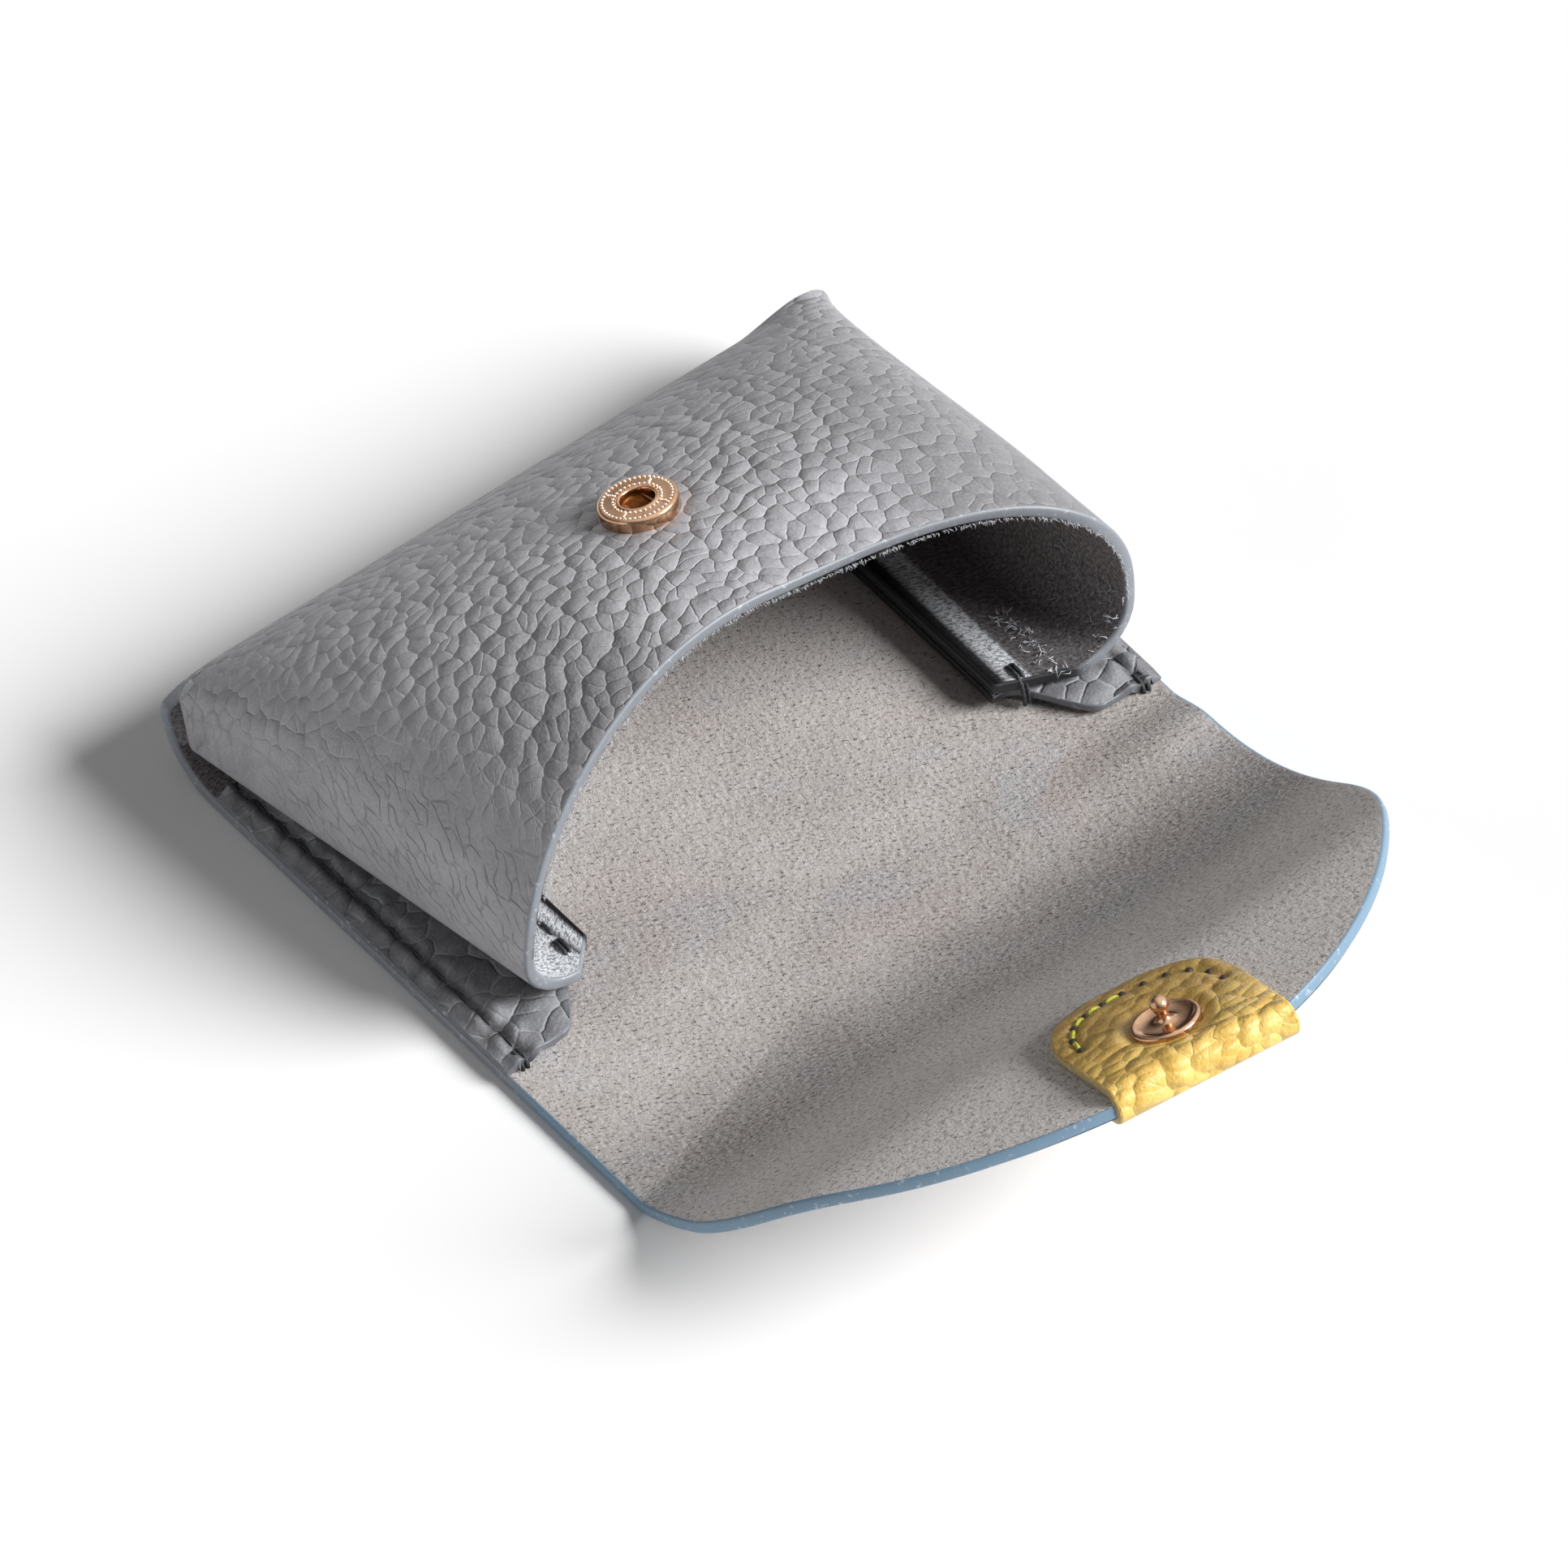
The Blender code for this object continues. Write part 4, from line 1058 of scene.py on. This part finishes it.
class Tubes:
    """A mesh of thin round tubes."""

    def __init__(self, sides):
        self.sides = sides
        self.points = []
        self.faces = []

    def add(self, path, radii):
        """A tube along a path with a radius at each point, closed at both ends."""
        rings = []
        for index, centre in enumerate(path):
            along = path[min(index + 1, len(path) - 1)] - path[max(index - 1, 0)]
            turn = along.normalized().to_track_quat("Z", "Y")
            rings.append(range(len(self.points), len(self.points) + self.sides))
            for side in range(self.sides):
                angle = FULL_TURN * side / self.sides
                out = Vector((math.cos(angle), math.sin(angle), 0)) * radii[index]
                self.points.append(centre + turn @ out)
        for first, second in zip(rings, rings[1:]):
            for side in range(self.sides):
                after = (side + 1) % self.sides
                self.faces.append((first[side], first[after], second[after], second[side]))
        self.faces += [tuple(reversed(rings[0])), tuple(rings[-1])]

    def finish(self, name, material):
        mesh = bpy.data.meshes.new(name)
        mesh.from_pydata(self.points, [], self.faces)
        mesh.materials.append(material)
        mesh.shade_smooth()
        return add_object(name, mesh)


def add_stitch(tubes, start, end, normal, rise):
    """One stitch from hole to hole, which sinks into the leather at both."""
    path = []
    radii = []
    for step in range(STITCH_STEPS + 1):
        share = step / STITCH_STEPS
        arch = max(math.sin(HALF_TURN * share), 0.0) ** STITCH_ARCH_POWER
        path.append(start.lerp(end, share) + normal * (rise * arch - THREAD))
        radii.append(THREAD / 2 * lerp(STITCH_END_SHARE, 1.0, arch))
    tubes.add(path, radii)


def add_seam(tubes, side, x, height, first, share, rise):
    """Stitches along a strip, each over this share of its pitch. height gives the leather's height at a y."""
    count = int((GUSSET_LENGTH - SEAM_END_MARGIN - first) / BODY_STITCH_PITCH)
    for index in range(count):
        start = first + (index + (1 - share) / 2) * BODY_STITCH_PITCH
        ends = [Vector((side * x, y, height(y))) for y in (start, start + share * BODY_STITCH_PITCH)]
        add_stitch(tubes, *ends, Vector((0, 0, 1)), rise)


def add_loops(tubes, side, x, spacing, top, route):
    """Two turns of thread drawn over an edge. The route is (y, height over top) points."""
    for shift in (0.0, spacing):
        path = [Vector((side * (x + shift), y, top + up)) for y, up in route]
        tubes.add(path, [THREAD / 2] * len(path))


def make_outer_thread(name, side, material):
    """The thread in a strip's puckered groove, with its loops over the mouth end."""
    tubes = Tubes(THREAD_SIDES)
    x = OUTER_SEAM_X
    add_seam(tubes, side, x, lambda y: strip_top(x, y), SEAM_END_MARGIN,
             OUTER_STITCH_SHARE, OUTER_STITCH_RISE)
    add_loops(tubes, side, x, OUTER_LOOP_SPACING, strip_top(x, SEAM_END_MARGIN), OUTER_LOOP)
    return tubes.finish(name, material)


def make_inner_thread(name, side, material):
    """The thread along a flange inside the pouch, with its loops. Nap all but hides the right one."""
    tubes = Tubes(THREAD_SIDES)
    x = SEAM_X + INNER_SEAM_INSET
    top = FLANGE_HEIGHT + LEATHER
    rise = RIGHT_INNER_RISE if side > 0 else LEFT_INNER_RISE
    add_seam(tubes, side, x, lambda y: top, INNER_SEAM_START, INNER_STITCH_SHARE, rise)
    add_loops(tubes, side, x, INNER_LOOP_SPACING, top, INNER_LOOP)
    return tubes.finish(name, material)


def tab_seam_spots():
    """Evenly spaced points along the tab's seam, and how many stitches it has."""
    path = evenly(tab_seam_path(), CURVE_SAMPLES)
    return path, int(path_lengths(path)[-1] / TAB_STITCH_PITCH)


def make_tab_thread(name, material, under, shown_share):
    """The stitches over the tab's upper leaf, or under its lower one, along a share of its seam."""
    tubes = Tubes(THREAD_SIDES)
    path, count = tab_seam_spots()
    slope = flap_slope(TAB_SHOULDER)
    out = Vector((0, math.sin(slope), math.cos(slope))) * (-1 if under else 1)
    for index in range(count):
        if (index + 0.5) / count >= shown_share:
            break
        ends = []
        for place in (index + TAB_STITCH_MARGIN, index + 1 - TAB_STITCH_MARGIN):
            x, distance = path[round(place / count * CURVE_SAMPLES)]
            height = TAB_BOTTOM if under else TAB_TOP + tab_relief(x, distance, path)
            ends.append(tab_point(x, distance, height))
        add_stitch(tubes, *ends, out, TAB_STITCH_RISE)
    return tubes.finish(name, material)


def make_tab_holes(material):
    """Dark spheres at the needle holes in the tab's groove: painted shade in the holes."""
    bm = bmesh.new()
    path, count = tab_seam_spots()
    for index in range(count + 1):
        x, distance = path[round(index / count * CURVE_SAMPLES)]
        centre = tab_point(x, distance, TAB_TOP + tab_relief(x, distance, path) - HOLE_SINK)
        bmesh.ops.create_icosphere(bm, subdivisions=2, radius=HOLE_RADIUS, matrix=Matrix.Translation(centre))
    return mesh_piece("tab_holes", bm, material)


def make_fibres(name, material, root, lean, count, seed, length, radius):
    """Short loose fibres that lean one way. root takes the generator and gives a point."""
    chance = random.Random(seed)
    tubes = Tubes(3)
    for _ in range(count):
        start = Vector(root(chance))
        reach = length * chance.uniform(0.5, 1.2)
        way = (Vector(lean) + Vector([chance.uniform(-0.6, 0.6) for _ in range(3)])).normalized()
        bend = Vector([chance.uniform(-0.5, 0.5) for _ in range(3)])
        path = [start, start + way * reach * 0.5, start + (way + bend).normalized() * reach]
        tubes.add(path, [radius, radius * 0.8, radius * 0.3])
    return tubes.finish(name, material)


def make_rim_fuzz(material):
    """Pale loose fibres along the inner edge of the pouch's mouth."""
    roots = []
    for side in (-1, 1):
        section = half_section(1, side)[:ARCH_COLUMNS]
        for first, second in zip(section, section[1:]):
            along = Vector(second) - Vector(first)
            inward = Vector((side * along.z, 0, -side * along.x)).normalized()
            if inward.z > 0:
                inward.negate()
            roots.append((Vector(first), along, inward))

    def root(chance):
        start, along, inward = chance.choice(roots)
        return start + along * chance.random() + inward * LEATHER * chance.uniform(0.80, 1.0)

    return make_fibres("mouth_fibres", material, root, lean=(0, -1, -0.2), count=RIM_FIBRES, seed=5,
                       length=RIM_FIBRE_LENGTH, radius=FIBRE_RADIUS)


def make_inner_fuzz(material):
    """Loose fibres low down inside the pouch on the right, near its mouth."""

    def root(chance):
        section = half_section(chance.uniform(0.80, 1.0), 1)
        index = chance.randrange(ARCH_COLUMNS - 3, ARCH_COLUMNS + TURN_COLUMNS + 5)
        x, y, z = Vector(section[index]).lerp(Vector(section[index + 1]), chance.random())
        inward = LEATHER * clamp_share((x - RIGHT_TURN_X) / RIGHT_TURN_WIDTH)
        return x - inward, y, z + LEATHER - inward

    return make_fibres("inner_fibres", material, root, lean=(-0.7, -0.2, 0.7), count=INNER_FIBRES, seed=8,
                       length=INNER_FIBRE_LENGTH, radius=FIBRE_RADIUS * 1.5)


# Snap fastener

def round_axis(node, top):
    """A turned piece's frame, from its own mesh: Z along its axis, with top above its origin."""
    points = np.array([vertex.co for vertex in node.data.vertices])
    middle = points.mean(axis=0)
    spread, axes = np.linalg.eigh(np.cov((points - middle).T))
    lonely = 0 if spread[1] - spread[0] > spread[2] - spread[1] else 2
    axis = Vector(axes[:, lonely])
    if axis.z < 0:
        axis.negate()
    reach = max((Vector(point) - Vector(middle)).dot(axis) for point in points)
    origin = Vector(middle) + axis * (reach - top)
    side = (Vector((1, 0, 0)) - axis * axis.x).normalized()
    frame_turn = Matrix((side, axis.cross(side), axis)).transposed().to_4x4()
    return Matrix.Translation(origin) @ frame_turn


def make_turned(name, profile, material, matrix):
    """A turned piece from a profile of (radius, height), top to bottom on its outer side."""
    bm = bmesh.new()
    verts = [bm.verts.new((radius, 0, height)) for radius, height in profile]
    edges = [bm.edges.new(pair) for pair in zip(verts, verts[1:])]
    bmesh.ops.spin(bm, geom=verts + edges, cent=(0, 0, 0), axis=(0, 0, 1), angle=FULL_TURN,
                   steps=TURNED_STEPS, use_merge=True)
    bmesh.ops.remove_doubles(bm, verts=bm.verts, dist=WELD_DISTANCE)
    bmesh.ops.recalc_face_normals(bm, faces=bm.faces)
    bmesh.ops.transform(bm, matrix=matrix, verts=bm.verts)
    return mesh_piece(name, bm, material)


def arc(centre, radius, start, end, steps):
    """Points of a profile along an arc, in degrees from outwards (0) to up (90)."""
    points = []
    for step in range(steps + 1):
        angle = math.radians(lerp(start, end, step / steps))
        points.append((centre[0] + radius * math.cos(angle), centre[1] + radius * math.sin(angle)))
    return points


def make_socket(material, matrix):
    """The socket: a round shoulder, a flat ring, a rolled lip round the bore and a skirt to the leather."""
    ring_start = (SOCKET_BORE + 2 * SOCKET_LIP + RING_INSET, SOCKET_TOP - RING_DROP)
    lip = (SOCKET_BORE + SOCKET_LIP, SOCKET_TOP - SOCKET_LIP)
    shoulder = (SOCKET_RADIUS - SOCKET_SHOULDER, SOCKET_TOP - SOCKET_SHOULDER)
    profile = [(SOCKET_BORE, -SOCKET_BORE_DEPTH), (SOCKET_BORE, SOCKET_TOP - SOCKET_LIP)]
    profile += arc(lip, SOCKET_LIP_ROLL, 180, 30, ARC_STEPS)
    profile += [ring_start]
    profile += arc(shoulder, SOCKET_SHOULDER, 90, 0, ARC_STEPS)
    profile += [(SOCKET_RADIUS, 2 * SKIRT_INSET), (SOCKET_RADIUS - SKIRT_INSET, SKIRT_INSET / 2)]
    profile += [(COLLAR_RADIUS, 0.0), (COLLAR_RADIUS, -COLLAR_DEPTH)]
    return make_turned("socket_body", profile, material, matrix)


def make_bore(material, matrix):
    """The cup in the socket, whose darker plating is painted shade in the bore."""
    return make_turned("socket_bore", CUP, material, matrix)


def make_beads(material, matrix):
    """Two rings of beads and four short rows across, on the socket's flat ring."""
    bm = bmesh.new()
    spots = []
    for count, radius in ((OUTER_BEADS, OUTER_BEAD_RING), (INNER_BEADS, INNER_BEAD_RING)):
        for index in range(count):
            spots.append((radius, FULL_TURN * index / count, BEAD_RADIUS))
    for quarter in range(4):
        for radius in BEAD_ROW_RADII:
            spots.append((radius, QUARTER_TURN * quarter + BEAD_ROW_ANGLE, BEAD_RADIUS * 0.8))
    for radius, angle, size in spots:
        spot = (radius * math.cos(angle), radius * math.sin(angle), SOCKET_TOP - BEAD_SINK)
        place = matrix @ Matrix.Translation(spot)
        bmesh.ops.create_icosphere(bm, subdivisions=2, radius=size, matrix=place)
    return mesh_piece("socket_beads", bm, material)


def make_stud(material, matrix):
    """The stud: a ball on a flared neck, in a dished base with a rolled rim."""
    profile = arc((0, STUD_BALL_HEIGHT), STUD_BALL_RADIUS, 90, -48, BALL_STEPS)
    profile += STUD_NECK
    rim = (STUD_RADIUS - STUD_RIM_RADIUS, STUD_RIM_HEIGHT)
    profile += arc(rim, STUD_RIM_RADIUS, 150, 0, ARC_STEPS)
    profile += [(STUD_RADIUS, 0.0), (0, 0)]
    return make_turned("stud_body", profile, material, matrix)


# Stage

KEY_AZIMUTH = math.radians(47)
KEY_ELEVATION = math.radians(34)
KEY_SHARE = 0.86
KEY_ANGLE = math.radians(31)
FILL_AZIMUTH = math.radians(-105)
FILL_ELEVATION = math.radians(10)
FILL_SHARE = 0.034
FILL_ANGLE = math.radians(60)
SKY_SHARE = 0.14
STUDIO_AZIMUTH = math.radians(80)
STUDIO_ELEVATION = math.radians(50)
STUDIO_DARK = 0.12
STUDIO_BRIGHT = 1.25

# The photograph's camera
PHOTO_AZIMUTH = math.radians(-38.8)
PHOTO_ELEVATION = math.radians(48.99)
FRAME_WIDTH = 0.20175
SENSOR = 36.0
CAMERA_DISTANCE = 8.0
AIM = Vector((0.00584, 0.01777, 0.0))
FLOOR_SIZE = 6.0


def direction(azimuth, elevation):
    """The way to something seen at an azimuth (0 is -Y, and it turns towards +X) and an elevation."""
    level = math.cos(elevation)
    return Vector((math.sin(azimuth) * level, -math.cos(azimuth) * level, math.sin(elevation)))


def add_sun(name, azimuth, elevation, floor_share, angle):
    """A soft sun that gives the floor this share of its light."""
    lamp = bpy.data.lights.new(name, "SUN")
    lamp.energy = floor_share * math.pi / math.sin(elevation)
    lamp.angle = angle
    add_object(name, lamp).rotation_euler = direction(azimuth, elevation).to_track_quat("Z", "Y").to_euler()


def make_world():
    """Even light on what is matt, white to the camera, and in metal a studio darker away from its lamp."""
    world = bpy.data.worlds.new("studio")
    world.use_nodes = True
    bpy.context.scene.world = world
    sky = Nodes(world.node_tree)
    way = sky.add("ShaderNodeTexCoord", {}, "Generated")
    towards_lamp = direction(STUDIO_AZIMUTH, STUDIO_ELEVATION)
    facing = sky.add("ShaderNodeVectorMath", {0: way, 1: towards_lamp}, "Value", operation="DOT_PRODUCT")
    studio = sky.ramp(facing, -0.1, 0.95, STUDIO_DARK, STUDIO_BRIGHT)
    glossy, camera, through = [sky.add("ShaderNodeLightPath", {}, f"Is {kind} Ray")
                               for kind in ("Glossy", "Camera", "Transmission")]
    seen = sky.math("MAXIMUM", sky.times(glossy, studio), sky.math("MAXIMUM", camera, through))
    background = world.node_tree.nodes["Background"].inputs
    background["Color"].default_value = (1, 1, 1, 1)
    sky.feed(background["Strength"], sky.math("MAXIMUM", seen, SKY_SHARE))


def make_floor():
    """The floor, which keeps the wallet's shadow."""
    mesh = bpy.data.meshes.new("floor")
    half = FLOOR_SIZE / 2
    corners = [(-half, -half, 0), (half, -half, 0), (half, half, 0), (-half, half, 0)]
    mesh.from_pydata(corners, [], [(0, 1, 2, 3)])
    mesh.materials.append(floor_look())
    add_object("floor", mesh)


def make_camera():
    """The photograph's camera, far away as its view has almost no perspective."""
    camera = bpy.data.cameras.new("camera")
    camera.lens = SENSOR * CAMERA_DISTANCE / FRAME_WIDTH
    camera.sensor_width = SENSOR
    back = direction(PHOTO_AZIMUTH, PHOTO_ELEVATION)
    obj = add_object("camera", camera)
    obj.location = AIM + back * CAMERA_DISTANCE
    obj.rotation_euler = back.to_track_quat("Z", "Y").to_euler()
    bpy.context.scene.camera = obj
    bpy.context.scene.view_settings.view_transform = "Standard"


def show(piece, body, slot, *nodes):
    """Puts a piece on a body in place of nodes."""
    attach(piece, body)
    if nodes:
        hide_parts(*nodes)


def dress_leather(paint):
    """The pouch and the flap, with the fibres at the mouth."""
    grey = grain_leather("grey pebbled leather", srgb(169, 168, 172), srgb(157, 156, 160), srgb(82, 80, 82),
                         srgb(196, 196, 201), pebble_size=2.2, relief=0.00038)
    lining = suede("suede", srgb(193, 187, 183), srgb(165, 157, 152), srgb(92, 85, 82),
                   srgb(224, 223, 224), nap=0.00018)
    pouch = make_pouch([grey, lining, paint])
    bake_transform(pouch)
    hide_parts("back_panel", "front_panel")
    fibre = thread_look("pale fibre", srgb(226, 229, 233), srgb(190, 194, 200))
    show(make_rim_fuzz(fibre), "body", "grey_leather")
    show(make_inner_fuzz(fibre), "body", "grey_leather")

    flap = make_flap([grey, lining, paint])
    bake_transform(flap)
    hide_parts("flap_panel", "flap_tip")


def dress_tab(olive):
    """The tab with its stitches."""
    yellow = grain_leather("yellow pebbled leather", srgb(246, 208, 116), srgb(228, 184, 88),
                           srgb(100, 62, 12), srgb(248, 214, 126), pebble_size=2.3, relief=0.00052,
                           roughness=0.28, softness=0.6)
    raw = edge_paint("raw yellow edge", *[srgb(168, 146, 92)] * 3)
    show(make_tab([yellow, raw, raw]), "flap_end", "yellow_leather", "flap_tab")
    inner = make_tab_thread("tab_stitches", olive, under=False, shown_share=0.5)
    show(inner, "flap_end", "olive_thread", "tab_inner_seam")
    outer = make_tab_thread("tab_outer_stitches", olive, under=True, shown_share=1.0)
    show(outer, "flap_end", "olive_thread", "tab_outer_seam")
    # Painted shade in the needle holes.
    hole = thread_look("needle holes", srgb(54, 34, 10), srgb(34, 20, 6))
    show(make_tab_holes(hole), "flap_end", "olive_thread")


def dress_strips(dark):
    """The gusset strips and the threads that hold them."""
    strap = grain_leather("gusset leather", srgb(138, 139, 143), srgb(120, 120, 124), srgb(34, 34, 36),
                          srgb(172, 174, 178), pebble_size=3.4, relief=0.00056)
    under = suede("strip suede", srgb(120, 116, 114), srgb(100, 96, 94), srgb(50, 46, 44),
                  srgb(180, 180, 180), nap=0.00014)
    cut = edge_paint("strip edge", srgb(112, 114, 120), srgb(112, 114, 120), srgb(26, 26, 28))
    for side, word in ((-1, "left"), (1, "right")):
        strip = make_strip(word + "_strip", side, [strap, under, cut])
        show(strip, "body", "gusset_leather", word + "_gusset")
        outer = make_outer_thread(word + "_outer_thread", side, dark)
        show(outer, "body", "dark_thread", word + "_outer_seam")
        inner = make_inner_thread(word + "_inner_thread", side, dark)
        show(inner, "body", "dark_thread", word + "_inner_seam")


def dress_snap(metal):
    """The socket with its beads, and the stud."""
    place = round_axis(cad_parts["snap_socket"], SOCKET_HEIGHT)
    # A lighter plating than the socket's: a painted highlight on the beads.
    bright = plating("bright beads", srgb(252, 238, 224), srgb(240, 218, 198), 0.14)
    # A darker, browner plating than the socket's: painted shade in the bore.
    amber = plating("amber bore", srgb(122, 74, 34), srgb(84, 46, 20), 0.40)
    show(make_socket(metal, place), "body", "rose_gold", "snap_socket")
    show(make_beads(bright, place), "body", "rose_gold")
    show(make_bore(amber, place), "body", "rose_gold")
    stud_place = round_axis(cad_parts["snap_stud"], STUD_TOP) @ Matrix.Rotation(STUD_TILT, 4, "X")
    show(make_stud(metal, stud_place), "flap_end", "rose_gold", "snap_stud")


def dress_nodes(metal):
    """The model's own pieces that stay in sight."""
    for name in ("left_spring", "right_spring", "socket_rivet", "stud_rivet"):
        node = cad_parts[name]
        node.data.materials.clear()
        node.data.materials.append(metal)


make_camera()
make_world()
make_floor()
add_sun("key", KEY_AZIMUTH, KEY_ELEVATION, KEY_SHARE, KEY_ANGLE)
add_sun("fill", FILL_AZIMUTH, FILL_ELEVATION, FILL_SHARE, FILL_ANGLE)

PAINT = edge_paint("edge paint", srgb(136, 140, 147), srgb(118, 146, 168), srgb(30, 31, 34))
METAL = plating("rose gold", srgb(210, 170, 138), srgb(188, 144, 112), 0.14)
DARK = thread_look("dark thread", srgb(58, 60, 66), srgb(20, 20, 22))
OLIVE = thread_look("olive thread", srgb(214, 214, 84), srgb(150, 150, 40))
dress_leather(PAINT)
dress_strips(DARK)
dress_tab(OLIVE)
dress_snap(METAL)
dress_nodes(METAL)
